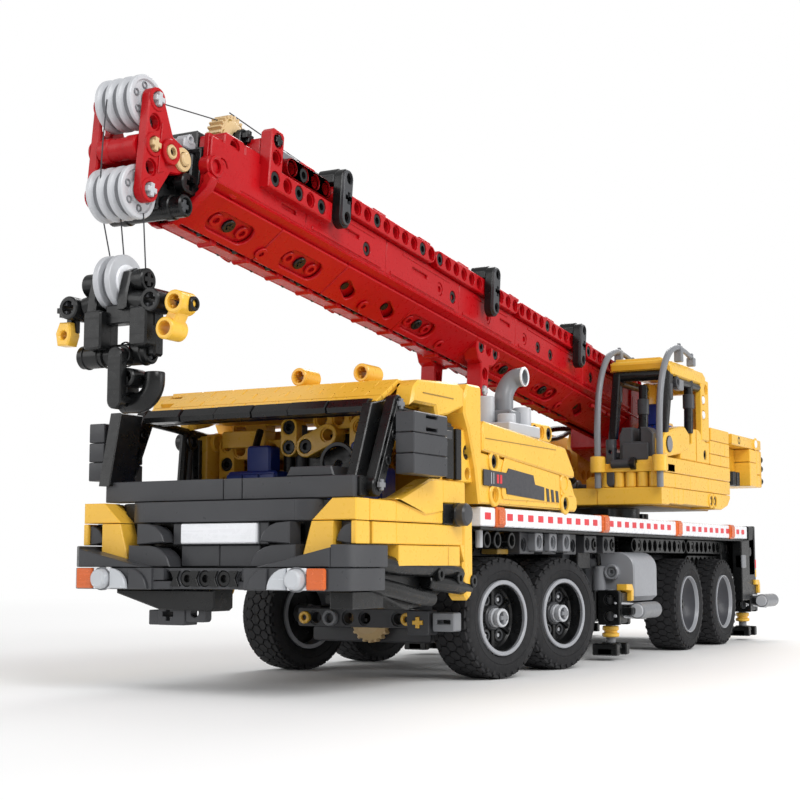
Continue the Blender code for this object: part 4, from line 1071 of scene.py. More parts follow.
# ============================================================================
# outrigger beams and jacks
# ============================================================================
for place, yc in OUTRIGGERS:
    roller_y = yc + (15 if place == "front" else 10)
    for side in both_sides((1, -1)):
        name = "%s_%s" % (place, SIDE_NAME[side])
        group("outrigger_" + name, "outrigger_beam_" + name, "outrigger_beam_" + name)
        beam("black", 12, 25.5, 44, 25.5, yc - 3.9, yc + 3.9, "Y", "opopo")
        # housing: side blocks round the jack bore
        box("black", 44.8, 47.5, yc - 7.8, yc + 7.8, 19.2, 33.8, 0.6)
        for d in (-1, 1):
            # laid out on its own side, and turned over because plate() mirrors it back
            block = rect(*sorted((side * 48.4, side * 59.6)), 17.2, 33.8, 1)
            plate("black", [(side * u, v) for u, v in block], yc + d * 4.5, yc + d * 7.8,
                  "Y", 0.4, "54.5 29.4, 54.5 21.4")
        box("black", 56.6, 59.4, yc - 4.3, yc + 4.3, 18, 33, 0.5)
        turn("black", "2.9 30.4, 2.9 33.6, 3.3 33.9, 4.6 33.9, 4.9 33.5, 4.9 30.4",
             52, yc, 0, "Z", 20)
        # yellow clip over the roller, roller with light ends
        plate("yellow", [(yc - 2, 36.8), (yc + 5.6, 36.8), (yc + 7.4, 34), (yc + 7.4, 28.6),
                         (yc + 4.4, 28.6), (yc + 4.4, 33.4), (yc - 2, 33.9)], 56, 61.6, "X", 0.4)
        bar("mgrey", 64.9, roller_y, 24, 4, 26, "Y", 0, 0.6)
        bar("lgrey", 64.9, roller_y - 13.2, 24, 3.3, 1.2, "Y")
        bar("lgrey", 64.9, roller_y + 13.2, 24, 3.3, 1.2, "Y", 2.2, 0.2)
        box("black", 57.5, 64.5, yc - 3.4, yc + 6.8, 22.2, 25.6, 0.5)
        tube("lgrey", [(57.5, yc - 8.4, 21.6), (62.4, roller_y + 6, 20)], 0.8, 8)
        tube("lgrey", [(57.5, yc - 8.4, 27.8), (62.4, roller_y - 8, 27)], 0.6, 8)
        group("jack_" + name, "jack_leg_" + name, "jack_leg_" + name)
        turn("mgrey", "0 34.4, 2 34.4, 2.4 34, 2.4 8, 0 8", 52, yc, 0, "Z", 24)
        turn("yellow", """2.45 16.6, 3.6 16.6, 4 16.2, 4 14.6, 3.2 14.2, 3.2 13.4, 4.2 13,
             4.2 11.6, 3.6 11.2, 2.45 11.2""", 52, yc, 0, "Z", 24)
        box("black", 48.2, 55.8, yc - 8.8, yc + 8.8, 2.8, 6.2, 0.5)
        for d in (-1, 1):
            box("black", 45.6, 58.4, yc + d * 4.4, yc + d * 8.8, 2.6, 8.2, 0.5)
        turn("black", "2.45 8.6, 4.2 8.6, 5 7.6, 5.4 6, 2.45 6", 52, yc, 0, "Z", 24)
        for d in (-5.4, 5.4):
            turn("dgrey", "0 5.4, 1.5 5.4, 1.6 3.4, 0 3.4", 52, yc + d, 0, "Z", 12)

# ============================================================================
# superstructure
# ============================================================================
group("turret", "turret", "turret_frame")
# plain lower row at the front, columns above it
plate("yellow", "24 317.6, 59.8 317.6, 59.8 330, 24 330", 77.8, 87, "Z", 0.5)
boxes("yellow", "-51.8 23.7 317.8 330 77.8 87 0.5")
for i in range(5):
    bar("yellow", 28.6 + 6.6 * i, 321.4, 91.2, 3.1, 8, "Z", 1.6, 0.3, 20)
# darker yellow behind the columns: painted shade
boxes("ydark", "24 59 325 335 87 99")
boxes("yellow", "55 59.8 317.9 340 87.2 94.9 0.5")
# rows of bricks up both sides; the left side carries the cab
for side in both_sides((1, -1)):
    x_in, x_out = (46, 59.8) if side > 0 else (40, 51.8)
    for y0, y1 in rows("330.2 337.6, 337.9 345.4, 345.7 353.2, 353.5 376, 376.3 408"):
        box("yellow", x_in, x_out, y0, y1, 79 if y0 > 353 else 78.6, 87, 0.35)
    for y0, y1 in rows("340.3 366.4, 366.7 398.2, 398.5 441.5"):
        box("yellow", x_in, x_out, y0, y1, 87.3, 94.9, 0.4)
    box("yellow", x_in, x_out + 0.2 if side > 0 else x_out, 318.2, 441.8, 95.2, 103.2, 0.5)
    # rounded lower rear corner with two pins
    plate("yellow", "408.3 87, 441.5 87, 441.4 85, 436 80.6, 424 78, 408.3 78",
          x_in, x_out, "X", 0.5)
    for y in (402.4, 409.4):
        turn("yellow", "3.05 0, 3.05 0.5, 3.3 0.8, 4 0.8, 4.2 0.5, 4.2 0", x_out, y, 82.4, "X", 20)
        pin(x_out + 0.5, y, 82.4)
    # upper block at the rear
    for z0, z1, joints in ((103.5, 109.6, (404, 424, 441.6)), (109.9, 117.4, (404, 432, 441.6)),
                           (117.7, 125, (406, 441.4))):
        for y0, y1 in zip(joints, joints[1:]):
            box("yellow", x_in, x_out, y0 + 0.1, y1 - 0.15, z0, z1, 0.4)
# slanted side beam with an axle end, rows behind it
plate("yellow", """322.8 104.6, 323.2 112.6, 327.6 116.6, 352 121.4, 358 121.8, 366 118.2,
      366 110, 352 106.4, 330 103.5""", 53.6, 60, "X", 0.9)
bar("mgrey", 60, 330.2, 110.2, 4.2, 1.8, "X", 0, 0.6)
turn("black", "3.2 60.6, 4.4 60.6, 4.4 60, 3.2 60", 0, 330.2, 110.2, "X", 24)
plate("yellow", """352 103.5, 352 109, 372 113.6, 372 121.5, 384 122, 396 116, 403.6 116,
      403.6 103.5""", 50.6, 59.4, "X", 0.5, "395.4 108.4")
pin(59.2, 395.4, 108.4)
# thin strip of darker yellow: painted shade along the seam
boxes("ydark", "59.2 59.7 379 379.5 104 121 0.03")
plate("yellow", rect(24.2, 60, 318, 340, 0.8), 95.2, 99.8, "Z", 0.3)
# deck behind, spine and cheeks that hold the boom foot
boxes("yellow", "-51.6 -26 338 436 95.2 112 0.6")
beam("yellow", 345, 100.5, 433, 100.5, -52.4, -48.4, "X", "opoooxooopoo")
beam("yellow", 345, 109.2, 409, 109.2, -52.4, -48.4, "X", "oopoooopo")
for k in range(5):
    box("yellow", -50.6, -27.4, 341 + 19 * k, 359.6 + 19 * k, 112.2, 115.2, 0.4)
for side in both_sides():
    plate("yellow", """403 118, 407 125.4, 416 130.4, 430 130.6, 438 124.4, 452 120.4,
          481 117.4, 481 98.4, 443 90.4, 403 90.4""", 21.7, 28.9, "X", 0.5,
          "424 118 3.2, 412 100, 420 100, 428 100, 436 100, 446 108, 454 108, 470 108")
    beam("yellow", 338, 92, 402, 92, 20, 27.6, "X", "opoooopoo")
    beam("yellow", 338, 100, 394, 100, 20, 27.6, "X", "xoooopoo")
    turn("mgrey", "2.5 28.9, 2.5 30.6, 4.2 30.6, 4.8 30, 4.8 28.9",
         0, BOOM_PIVOT_Y, BOOM_PIVOT_Z)
    axle("black", 29, BOOM_PIVOT_Y, BOOM_PIVOT_Z, 5)
bar("dgrey", 0, BOOM_PIVOT_Y, BOOM_PIVOT_Z, 3.3, 56)
bar("dgrey", 0, RAM_FOOT_Y, RAM_FOOT_Z, 2.25, 44)
for side in both_sides():
    plate("yellow", "330 78, 330 92, 335 94, 341 94, 346 90, 346 78", 12.6, 19.6, "X", 0.4,
          [(RAM_FOOT_Y, RAM_FOOT_Z, 2.5)])
# darker yellow underneath the superstructure: painted shade
boxes("ydark", "-46 46 345 443 78 90 0.6, -46 46 443 446 84 96 0.6")
for x in (-40, -24, -8, 8, 24, 40):
    plate("yellow", rect(x - 7.8, x + 7.8, 96.2, 116, 0.5), 472, 481.6, "Y", 0.4,
          [(x - 4, 100.3), (x + 4, 100.3)])
tube("black", curve("-30 340 117, -24 380 126, -17 412 124, -12 432 112"), 1.7, 10)
tube("dgrey", curve("-36 340 117, -30 390 121, -26 424 132, -16 452 124, -8 460 120"), 1.5, 10)
# slewing drive under the front of the superstructure
bar("black", 34, 330, 72.6, 8.6, 7, "Z", 2.4)
gear("black", 34, 338, 10.4, 69.6, 73.4, "Z", 16)
# winch supports
for side in both_sides():
    plate("yellow", oval(462, 104, 462, 112, 5.2), 18.6, 21.5, "X", 0.3, "462 112 2.6, 462 104")

# ---- operator's cab ----------------------------------------------------------
group("opcab", "turret", "operator_cab")
# floor, console, levers
boxes("black", "27 57 322 400 99.9 103.4 0.5")
plate("dgrey", """36 96, 55 96, 55 115.5, 51.6 119, 47.8 119, 47.8 111.4, 43.4 111.4, 43.4 119,
      37.6 119, 36 115""", 319.6, 331.5, "Y", 0.6)
boxes("dgrey", "38 52.6 317.6 321 101.4 110.4 0.5")
plate("dgrey", oval(31, 89.8, 31, 108.6, 2.3), 318.2, 323.6, "Y", 0.5, "31 106 1.1")
bar("dgrey", 31, 320.8, 110.4, 2.9, 5, "Z")
tube("dgrey", "32 318.2 99.6, 43.6 318.2 99.6", 2.4, 14)
bar("black", 44.4, 318, 99.6, 3.3, 3.2)
tube("black", "43.6 336 110, 43.6 337 128", 2.6, 14)
bar("dgrey", 43.6, 337, 131.4, 3.1, 8.6, "Z")
bar("black", 43.6, 337.2, 139.4, 2.4, 8, "Z")
boxes("black", "39.4 47.6 333 340 108 113.6 0.5")
# seat in blue bricks: cushion, two back halves, head rest, arm rests
boxes("blue", """31.4 49.6 350 366 100 110.6 0.8, 31.4 39.6 360.8 369 110.8 123.4 0.8,
      39.9 49.8 360.8 369 110.8 123.4 0.8, 36 45 361.6 368.4 123.6 135.6 0.8,
      50 55.4 352 368 108 116.6 0.8, 26 31.2 352 368 108 116.6 0.8""")
# frame: slanted front posts, upper beam, door posts
for x0, x1 in ((27, 31.4), (56.4, 59.6)):
    plate("black", "326.6 113.6, 331 113.6, 341.6 150, 334.6 150", x0, x1, "X", 0.6)
    bar("dgrey", (x0 + x1) / 2, 336.2, 139, 2.7, 9, "Z")
tube("black", "27 337.4 148.4, 58.5 337.4 148.4", 2.7, 14)
boxes("black", "26.4 59 336.8 341.6 147 151 0.5")
tube("black", "57.4 372 119, 57.4 373.5 150", 2.5, 14)
bar("dgrey", 57.4, 373, 137, 3.2, 8, "Z")
bar("dgrey", 57.4, 346.5, 145.2, 3.1, 6, "X", 1.6)
tube("black", "57.4 344 146.4, 57.4 390 146.4", 2.4)
tube("black", "28 344 146.4, 28 396 146.4", 2.4)
boxes("mgrey", "55.8 59.8 350.5 358.5 141.5 147.6 0.6")
# back wall and rear post with two white pins
plate("yellow", rect(26.6, 56, 103.6, 151, 1), 396, 402.4, "Y", 0.5,
      [rect(33, 49.6, 122, 144, 1.5)])
plate("yellow", rect(388.4, 402.2, 116.3, 151.2, (0.6, 0.6, 0.3, 0.3)), 56.2, 60, "X", 0.5,
      "392.2 139.6, 392.2 131, 397.4 146")
plate("yellow", rect(27, 30.6, 103.6, 150, 0.5), 384, 396, "Y", 0.3)
for z in (139.6, 131):
    turn("white", "0 0.6, 1.9 0.5, 2.3 0.1, 2.35 -1.5, 0 -1.5", 59.9, 392.2, z, "X", 18)
# roof: slab with a rounded outer edge, tiles on top
plate("yellow", """25 151.4, 25 155.8, 27 156.9, 54.4 156.9, 58.6 155.6, 60.2 152.6, 60.2 149,
      58.8 148.2, 57.2 151.4""", 336.2, 396.6, "Y", 0.7)
plate("yellow", "25.2 151.6, 56.8 151.6, 56.8 155.4, 25.2 155.4", 396.9, 402.6, "Y", 0.5)
for k in range(3):
    box("yellow", 27.6, 53.6, 338 + 19.4 * k, 357 + 19.4 * k, 156.6, 158.4, 0.35)
# darker yellow strip on the roof's front edge: painted shade
boxes("ydark", "26 56 335.4 336.3 151.8 155 0.2")
# grey tubes in yellow rings, up the front corners and over the roof
for x in (25.6, 60.2):
    turn("yellow", "2.35 94.9, 3.6 94.9, 4 95.3, 4 103.1, 3.6 103.5, 2.35 103.5",
         x, 314.6, 0, "Z", 24)
    box("yellow", x - 3, x + 2.6, 315.6, 320.5, 95.4, 103, 0.5)
    rising = rows("""314.6 86.6, 314.6 104, 314.9 122, 317.6 138, 323.6 150.6, 332.5 159.4,
                  343 163.6, 352 164.2""")    # y, z
    tube("mgrey", curve([(x, y, z) for y, z in rising], 8), 1.75, 14)
    tube("mgrey", curve([(x, 351, 164.2), (x, 362, 163), (x, 372, 160.8)]), 1.4)
    for y, z in ((349, 163.8), (370.5, 160.8)):
        box("mgrey", x - 2.2, x + 2.2, y - 1.8, y + 1.8, 156.4, z + 0.4, 0.4)
        plate("mgrey", [(y - 1.6, z - 3), (y + 2, z - 3), (y + 1.4, z + 3), (y + 0.2, z + 3)],
              x - 1, x + 1, "X", 0.3)

# ---- counterweight -----------------------------------------------------------
group("ballast", "turret", "counterweight")
plate("yellow", """-60 447, -60 510, -58.4 514.2, -54.6 516, 54.6 516, 58.4 514.2, 60 510,
      60 447, 50 447, 50 484, -50 484, -50 447""", 118.2, 124.6, "Z", 0.6,
      "53.6 464 2.5, -53.6 464 2.5")
for side in both_sides():
    pin(53.6, 464, 124.4, "Z")
    bar("black", 59, 462, 121.4, 2.6, 2.2, "X", 1.3)
    turn("white", "0 1, 2.2 0.9, 2.6 0.4, 2.6 -0.8, 0 -0.8", 59.9, 497.6, 121.6, "X", 18)
    turn("yellow", "2.7 0, 2.7 0.5, 3.8 0.5, 4 0.2, 4 0", 60, 497.6, 121.6, "X", 20)
    # darker yellow on the inner faces of the weight: painted shade
    boxes("ydark", "40 50 446 486 101 118 0.6, 44 50 446 486 96 100.8 0.5")
    bar("black", 51.6, 478, 98.8, 3.6, 8.4, "Z", 2.2)
    bar("black", 51.6, 469.5, 98.8, 3.6, 8.4, "Z")
    # bricks of the weight, with seams
    boxes("yellow", """44 59.8 486.4 500.6 94.8 109.6 0.5, 44 59.8 500.9 508.8 94.8 102.4 0.5,
          44 59.8 500.9 508.8 102.7 117.9 0.5, 44 59.8 486.4 500.6 109.9 117.9 0.5""")
    plate("yellow", "59.8 509.1, 59.6 512, 58 514.4, 55 515.6, 44.2 515.6, 44.2 509.1",
          94.8, 117.9, "Z", 0.5)
    for z in (98.8, 106.8, 112.6):
        bar("black", 57.4, 514.3, z, 2.5, 2.2, "Y", 1.4)
for x0, x1 in ((-43.9, -0.2), (0.1, 43.9)):
    for z0, z1 in ((94.8, 102.4), (102.7, 110.2), (110.5, 117.9)):
        box("yellow", x0, x1, 490.4, 515.8, z0, z1, 0.5)
for x in range(-40, 41, 16):
    plate("yellow", rect(x - 7.4, x + 7.4, 104, 116.6, 0.6), 515.6, 516.4, "Y", 0.2,
          [(x - 4, 110.4, 2.4), (x + 4, 110.4, 2.4)])

# ============================================================================
# boom
# ============================================================================
group("boom", "boom", "boom_base", frame=BOOM)
# core tube in long pieces, seams between them; half sections, x n
CORE_JOINTS = (26, 92, 172, 252, 359, 455)
FOOT_SECTION = rows("2 -1.2, 3.6 -0.6, 14.6 8.4, 17 8.8, 19.4 10.4, 17.2 12.6, 17.2 15")
OPEN_SECTION = FOOT_SECTION + rows("9 15, 9 11, 7 5")
for s0, s1 in zip(CORE_JOINTS, CORE_JOINTS[1:]):
    half = OPEN_SECTION if s0 > 80 else FOOT_SECTION
    plate("red", half + [(-x, n) for x, n in reversed(half)], s0 + 0.12, s1 - 0.12, "Y", 0.3)
    for side in both_sides():
        plate("red", "14.4 12.4, 16.4 12.4, 16.4 28, 14.4 28", s0 + 0.12, s1 - 0.12, "Y", 0.2)
boxes("black", "-14 14 40 452 22.5 24.5")
# side panels above the crease: span along s, holes (s n), slot (s n length)
PANELS = ((30, 112, "100 19", (60, 21, 12)),
          (112, 200, "156 18.6, 172 18.8, 189 19", (128, 21.5, 10)),
          (200, 262, "231 19", (212, 21.4, 12)),
          (262, 330, "268 19.2, 281 19.4", (300, 21.4, 14)),
          (330, 392, "346 18.4", (358, 21.4, 12)),
          (392, 454.6, "447 18", (404, 16.5, 10)))
for side in both_sides():
    for s0, s1, holes, (s, n, length) in PANELS:
        slot = rect(s - length / 2, s + length / 2, n - 0.9, n + 0.9, 0.5, 3)
        plate("red", rect(s0 + 0.2, s1 - 0.2, 12.9, 27, 0.5), 14.6, 17.5, "X", 0.3,
              rows(holes) + [slot])
        for s, n in rows(holes):
            pin(17.5, s, n, mat="red" if s % 2 else "black")
    # shallow strip lines along the panels
    for s0, s1 in ((34, 108), (116, 196), (204, 258), (266, 326), (334, 388)):
        box("red", 17.3, 18, s0, s1, 13.6, 15, 0.25)
        box("red", 17.3, 17.9, s0 + 6, s1 - 10, 24.6, 25.6, 0.2)
# lower flank plates with pockets: long ones with three pins, small slanted ones
FLANK_JOINTS = (454.8, 407, 359, 300, 240, 171, 123, 60, 28)
LONG_POCKETS = (430, 382.5, 286, 195, 147)
POCKETS = (430, 382.5, 347, 314, 286, 195, 147, 100)
FLANK_RUN, FLANK_RISE = 17.4 - 4.4, 7.2 + 3.4
FLANK_WIDTH = math.hypot(FLANK_RUN, FLANK_RISE)
run, rise = FLANK_RUN / FLANK_WIDTH, FLANK_RISE / FLANK_WIDTH
for side in (-1, 1):
    with inside(axes((side * 3, 0, -2.4), (0, 1, 0), (side * run, 0, rise),
                     (side * rise, 0, -run))):
        for s1, s0 in zip(FLANK_JOINTS, FLANK_JOINTS[1:]):
            holes = [oval(s - 8.4, 8, s + 8.4, 8, 4.5, 7) if s in LONG_POCKETS else
                     oval(s - 3.6, 6.6, s + 3.6, 9.4, 2.7, 7) for s in POCKETS if s0 < s < s1]
            plate("red", rect(s0 + 0.2, s1 - 0.2, 0.8, FLANK_WIDTH + 0.6, 0.6), 0, 1.6,
                  "Z", 0.35, holes)
        for s in POCKETS:
            if s in LONG_POCKETS:
                plate("red", oval(s - 8.4, 8, s + 8.4, 8, 4.9), -1.9, -0.3, "Z", 0.1)
                for d, mat in ((-8, "red"), (0, "black"), (8, "red")):
                    turn(mat, "1.45 0.3, 2.5 0.3, 2.8 0, 2.8 -0.8, 1.45 -0.8",
                         s + d, 8, 0.6, "Z", 16)
                plate("black", plus(s, 8, 1.5, 0.5), 0.2, 1.2, "Z", 0.05)
            else:
                turn("black", "0 -0.6, 1.9 -0.6, 1.9 -1.4, 0 -1.4", s, 8, 0, "Z", 14)
        # round bosses
        for s in (407, 331, 262, 214, 171, 123):
            turn("red", "1.2 2.6, 2.4 2.6, 2.7 2.3, 2.7 2, 1.2 2", s, 5, 0, "Z", 16)
# underside: strip with cross tubes
boxes("red", "-2.8 2.8 92 454 -3.6 -2.6 0.3")
for s in range(100, 452, 22):
    bar("red", 0, s, -2.4, 2, 7, "X", 0, 0.4)
    for side in both_sides():
        bar("black", 3.2, s + 9, -2, 1.5, 2.4, "X", 0.8, 0.2)
# top rails: beams with a row of holes
for side in both_sides():
    for k, kinds in enumerate(("oooopooooop", "opoooopoooo", "oooopooooop", "opoooopoooo", "oooo")):
        s0 = 30 + 88.3 * k
        beam("red", s0, 31.2, s0 + 8 * (len(kinds) - 1), 31.2, 12.2, 20, "X", kinds)
    beam("red", 383.2, 31.2, 407.2, 31.2, 12.2, 20, "X", "oopo")
    for s in (62, 108, 162, 206, 262, 300, 340, 396):
        box("red", 13, 19.4, s - 5, s + 5, 34.6, 36.3, 0.4)
boxes("dgrey", "-12 12 34 408 28.6 30.4 0.5")
for s in range(60, 400, 44):
    box("red", -12, 12, s - 3.8, s + 3.8, 28.2, 34.6, 0.5)
# black brackets astride the rails
for s in (375, 238, 130):
    for side in both_sides():
        beam("black", s, 21.5, s, 37.5, 20.4, 24.2, "X", "oxo", 4)
        plate("dgrey", oval(s + 0.6, 21.5, s + 0.6, 37.5, 3.2), 24.1, 25.4, "X", 0.2,
              [(s, 21.5, 2.3), (s, 29.5, "x"), (s, 37.5, 2.3)])
        bar("black", 16, s - 1, 38.8, 3.7, 8.6, "X", 1.6)
        box("black", 13, 20.4, s - 4, s + 4, 35.2, 39, 0.5)
        bar("mgrey", 21.5, s, 37.5, 2.2, 3, "X", 1.2)
# corner bracket near the head on the left, with its pins
plate("red", """380.4 18.3, 424.4 18.3, 424.4 39.6, 423 41, 417.6 41, 416.2 39.6, 416.2 26.2,
      380.4 26.2""", 16.4, 21.6, "X", 0.45,
      "388 22.2, 396 22.2, 404 22.2, 412 22.2, 420.2 22.2, 420.2 36.9, 420.2 30.3")
for s in (420.2, 404, 388):
    pin(21.6, s, 22.2)
axle("black", 21.4, 420.2, 36.9, 1.8, "X", 2.1)
plate("red", rect(434.6, 447, 24.2, 31.4, 1.6), 6, 17.4, "X", 0.5, "440.6 27.6")
boxes("red", "-17.4 17.4 424.6 434.2 23.4 31 0.6")
boxes("black", "-9 6 426 448 26 33 0.5")
plate("red", rect(412, 424, 26.6, 37.8, 1), 10, 16.2, "X", 0.4, "418 31")
boxes("mgrey", "9.4 16 398 410 34.8 38.4 0.5")
bar("lgrey", 8, 402, 38.6, 2.4, 9, "X", 1.2)
plate("red", rect(424.5, 440, 18, 31, 1.2), -20, -16.4, "X", 0.4, "432 22.2, 432 27.6 x")
# corner tube with a pin by the boom mouth, and the rim of the mouth
for side in both_sides():
    plate("red", oval(440, 12.6, 452.4, 16.2, 4.1), 13.4, 18.2, "X", 0.7, "452 16.2")
    turn("red", "2.5 17.6, 2.5 18.6, 3.2 19, 3.8 18.8, 4 18, 4 17.6", 0, 452, 16.2, "X", 24)
    bar("black", 16.4, 452, 16.2, 2.4, 1)
    plate("red", """2.2 -4.4, 4.6 -4.2, 18.2 6.8, 20 10.4, 18 13, 16 12, 16.2 9.6, 14.4 6.8,
          3.4 -2""", 452.2, 456.2, "Y", 0.4)
# legs down to the cylinder pin
for side in both_sides():
    plate("red", """218 9, 238 9, 238.8 3, 236 -1.8, 233 -3, 232.6 -16.2, 231.4 -19.2,
          229 -20.2, 226.4 -19.2, 225.2 -16.2, 224.8 -3, 220 -1.8, 213.4 3.6, 214 9""",
          8.4, 16.2, "X", 0.5, "229 -15.6 2.5, 229 -7.6, 234 4.5, 218.6 4.5, 226.2 4.5")
    pin(16.2, 234, 4.5)
    pin(16.2, 218.6, 4.5)
    axle("lgrey", 16.2, RAM_PIN_S, RAM_PIN_N, 1.8, "X", 2.2)
for side in both_sides():
    bar("mgrey", 12.5, RAM_PIN_S, RAM_PIN_N, 2.3, 8)
# foot: two ears on the pivot pin and the block that carries them
foot = [(0, -11.8), *arc(0, 0, -11.8, -11.8, range(75, -91, -15)), (38, 22), (38, -9)]
for side in both_sides():
    plate("red", foot, 9.2, 18.8, "X", 0.6, "0 0 3.7, 12 6, 20 6, 28 6, 20 -4, 28 -4")
    turn("dgrey", "3.75 18.8, 3.75 19.6, 5.6 19.6, 6 19.2, 6 18.8", 0, 0, 0, "X", 24)
boxes("red", "-18.6 18.6 22 40 -8.6 27 0.8")
for s in range(48, 92, 12):
    box("red", -16, 16, s, s + 9, 4, 22, 0.5)

# tan gear that leads the rope at the mouth
GEAR_S, GEAR_N = 424.5, 38.4
group("gear", "boom", frame=BOOM)
gear("tan", GEAR_S, GEAR_N, 9, -1.6, 4.6, "X", 24)
turn("tan", "2.5 4.4, 7.2 4.4, 5.2 5.6, 2.5 5.6", 0, GEAR_S, GEAR_N, "X", 24)
for s, n in ring(GEAR_S, GEAR_N, 5.9, 6):
    turn("brass", "1 4.6, 1.5 4.8, 1.7 4.6, 1.7 4.3, 1 4.3", 0, s, n, "X", 12)
axle("black", 1, GEAR_S, GEAR_N, 22, "X", 2.3)
for r, x0, x1 in ((3.5, -8.4, -4.6), (3.2, 7, 9.6)):
    plate("black", oval(GEAR_S, 30, GEAR_S, GEAR_N, r), x0, x1, "X", 0.3, [(GEAR_S, GEAR_N, "x")])

# ---- sliding section and head ------------------------------------------------
group("inner", "boom_inner", "boom_inner", frame=BOOM)
for s0, s1 in ((300, 352), (352, 404), (404, 456)):
    for side in both_sides():
        plate("black", """0.02 -0.8, 7.6 2.8, 11.4 5.9, 14.1 9.4, 14.2 13, 14.2 22, 11.8 22,
              11.8 10.2, 9.8 7.4, 6.6 4.6, 0.02 1.4""", s0 + 0.1, s1 - 0.1, "Y", 0.2)
boxes("black", "-14 14 302 456 20.4 22.4 0.4")
plate("black", rect(455.8, 469, -3, 20.8, 1.6), -7.7, 7.7, "X", 0.5,
      "463.6 7.6 x, 463.6 15.6, 458.6 2 1.6")
boxes("black", "-12.2 12.2 446 458 11 20 0.6")
turn("black", "2.4 15, 2.8 16, 3.4 16, 3.9 15.5, 3.9 -15.5, 3.4 -16, 2.8 -16, 2.4 -15",
     0, 463.6, -1.6, "X", 24)
axle("dgrey", 0, 463.6, -1.6, 30.6, "X", 2.3)
for side in both_sides():
    bar("black", 9.6, 463.6, -1.6, 4.4, 3.4, "X", 2.4, 0.4)
    plate("black", oval(452, 8, 460.5, 8, 3.4), 9.4, 13.6, "X", 0.4, "459 8 x")
plate("lgrey", rect(452.6, 459.4, 22.2, 25.8, 0.8), 4.6, 9.4, "X", 0.4)
bar("lgrey", 7, 456, 25.8, 1.9, 5.2, "X", 1)
boxes("dgrey", "-6 6 450 458.6 22.2 25 0.5")

group("head", "boom_inner", "boom_head", frame=BOOM)
HEAD_N = [31.3 - 8 * i for i in range(5)]       # holes down the head plate
TOP_N, MIDDLE_N, LOW_N = HEAD_N[::2]
# triangle with rounded corners: s, n from the middle hole on its blunt rear end
blunt = rows("468.6 6.6, 463.6 5.4, 459.6 3, 458.4 0, 459.6 -3, 463.6 -5.4, 468.6 -6.6")
triangle = arc(SHEAVE_S, TOP_N, 4.1, 4.1, range(-10, 166, 16))
triangle += [(s, MIDDLE_N + n) for s, n in blunt]
triangle += arc(SHEAVE_S, LOW_N, 4.1, 4.1, range(195, 371, 16))
head_holes = [(SHEAVE_S, n) if i % 2 else (SHEAVE_S, n, 2.45) for i, n in enumerate(HEAD_N)]
head_holes.append((463.4, MIDDLE_N, 2.4))
for side in both_sides():
    plate("red", triangle, 8.2, 12, "X", 0.5, head_holes)
    # raised rims and round bosses
    turn("red", "2.6 11.8, 2.6 13.4, 3.2 13.8, 4.2 13.8, 4.5 13.4, 4.5 11.8", 0, 470.8, MIDDLE_N)
    turn("red", "2.9 11.8, 2.9 12.6, 4 12.6, 4.2 12.3, 4.2 11.8", 0, SHEAVE_S, MIDDLE_N, "X", 24)
    for n in (TOP_N, LOW_N):
        axle("lgrey", 11.4, SHEAVE_S, n, 4.4, "X", 2.3)
        turn("red", "2.9 11.8, 2.9 12.4, 3.9 12.4, 4.1 12.1, 4.1 11.8", 0, SHEAVE_S, n, "X", 24)
    axle("tan", 11.4, SHEAVE_S, MIDDLE_N, 4.6, "X", 2.3)
    turn("tan", "0 14.4, 1.8 14.4, 2.3 13.9, 2.4 12, 0 12", 0, 463.4, MIDDLE_N, "X", 20)
    turn("tan", "1.5 14.2, 2.1 14.2, 2.5 13.8, 2.5 12.2, 1.5 12.2", 0, 470.8, MIDDLE_N, "X", 20)
    turn("black", "0 12.8, 1.5 12.8, 1.5 12, 0 12", 0, 470.8, MIDDLE_N, "X", 16)
    turn("tan", "2.6 12, 2.6 13.2, 3.9 13.2, 4.2 12.8, 4.2 12", 0, 463.4, MIDDLE_N, "X", 24)
    plate("red", [(475.6, HEAD_N[1] + 1), (475.6, HEAD_N[3] - 1), (472.6, HEAD_N[3] + 0.6),
                  (472.6, HEAD_N[1] - 0.6)], 11.8, 12.5, "X", 0.2)
turn("red", """0 -8.1, 3.9 -8.1, 4.3 -7.6, 4.3 -3.8, 3.9 -3.5, 3.9 3.5, 4.3 3.8, 4.3 7.6,
     3.9 8.1, 0 8.1""", 0, 480, 14.7)
bar("red", 0, 467, 15.4, 3.9, 16.2, "X", 0, 0.5)
for n in (TOP_N, LOW_N):
    bar("mgrey", 0, SHEAVE_S, n, 2.2, 16.6)


def sheave_stack():
    """Four sheaves side by side on one hub, with three grooves between them."""
    profile = []
    for a, b in ((7.7, 5.9), (3.2, 1.4), (-1.4, -3.2), (-5.9, -7.7)):
        profile += [(8.8, a), (9.15, a - 0.3), (9.15, b + 0.3), (8.8, b)]
        if b > -7:
            profile += [(7.1, b - 0.8), (6.9, b - 1.35), (7.1, b - 1.9)]
    profile += rows("""7.6 -7.7, 7.2 -7, 4 -7, 3.7 -7.9, 2.5 -7.9, 2.5 7.9, 3.7 7.9, 4 7,
                    7.2 7, 7.6 7.7""")
    turn("sheave", profile, 0, 0, 0, "X", 48)
    for x in (4.55, 0, -4.55):
        turn("mgrey", [(6.6, x - 1.2), (6.6, x + 1.2), (7.9, x + 1.2), (7.5, x), (7.9, x - 1.2)],
             0, 0, 0, "X", 40)
    for side in both_sides():
        for i in range(6):
            t = math.radians(60 * i + 15)
            turn("mgrey", "0.6 6.9, 1 7.5, 1.3 7.3, 1.4 6.8, 0.6 6.6",
                 0, 5.5 * math.cos(t), 5.5 * math.sin(t), "X", 12)


for name, n in (("upper_sheaves", TOP_N), ("lower_sheaves", LOW_N)):
    group(name, name, name, frame=BOOM @ Matrix.Translation((0, SHEAVE_S, n)))
    sheave_stack()

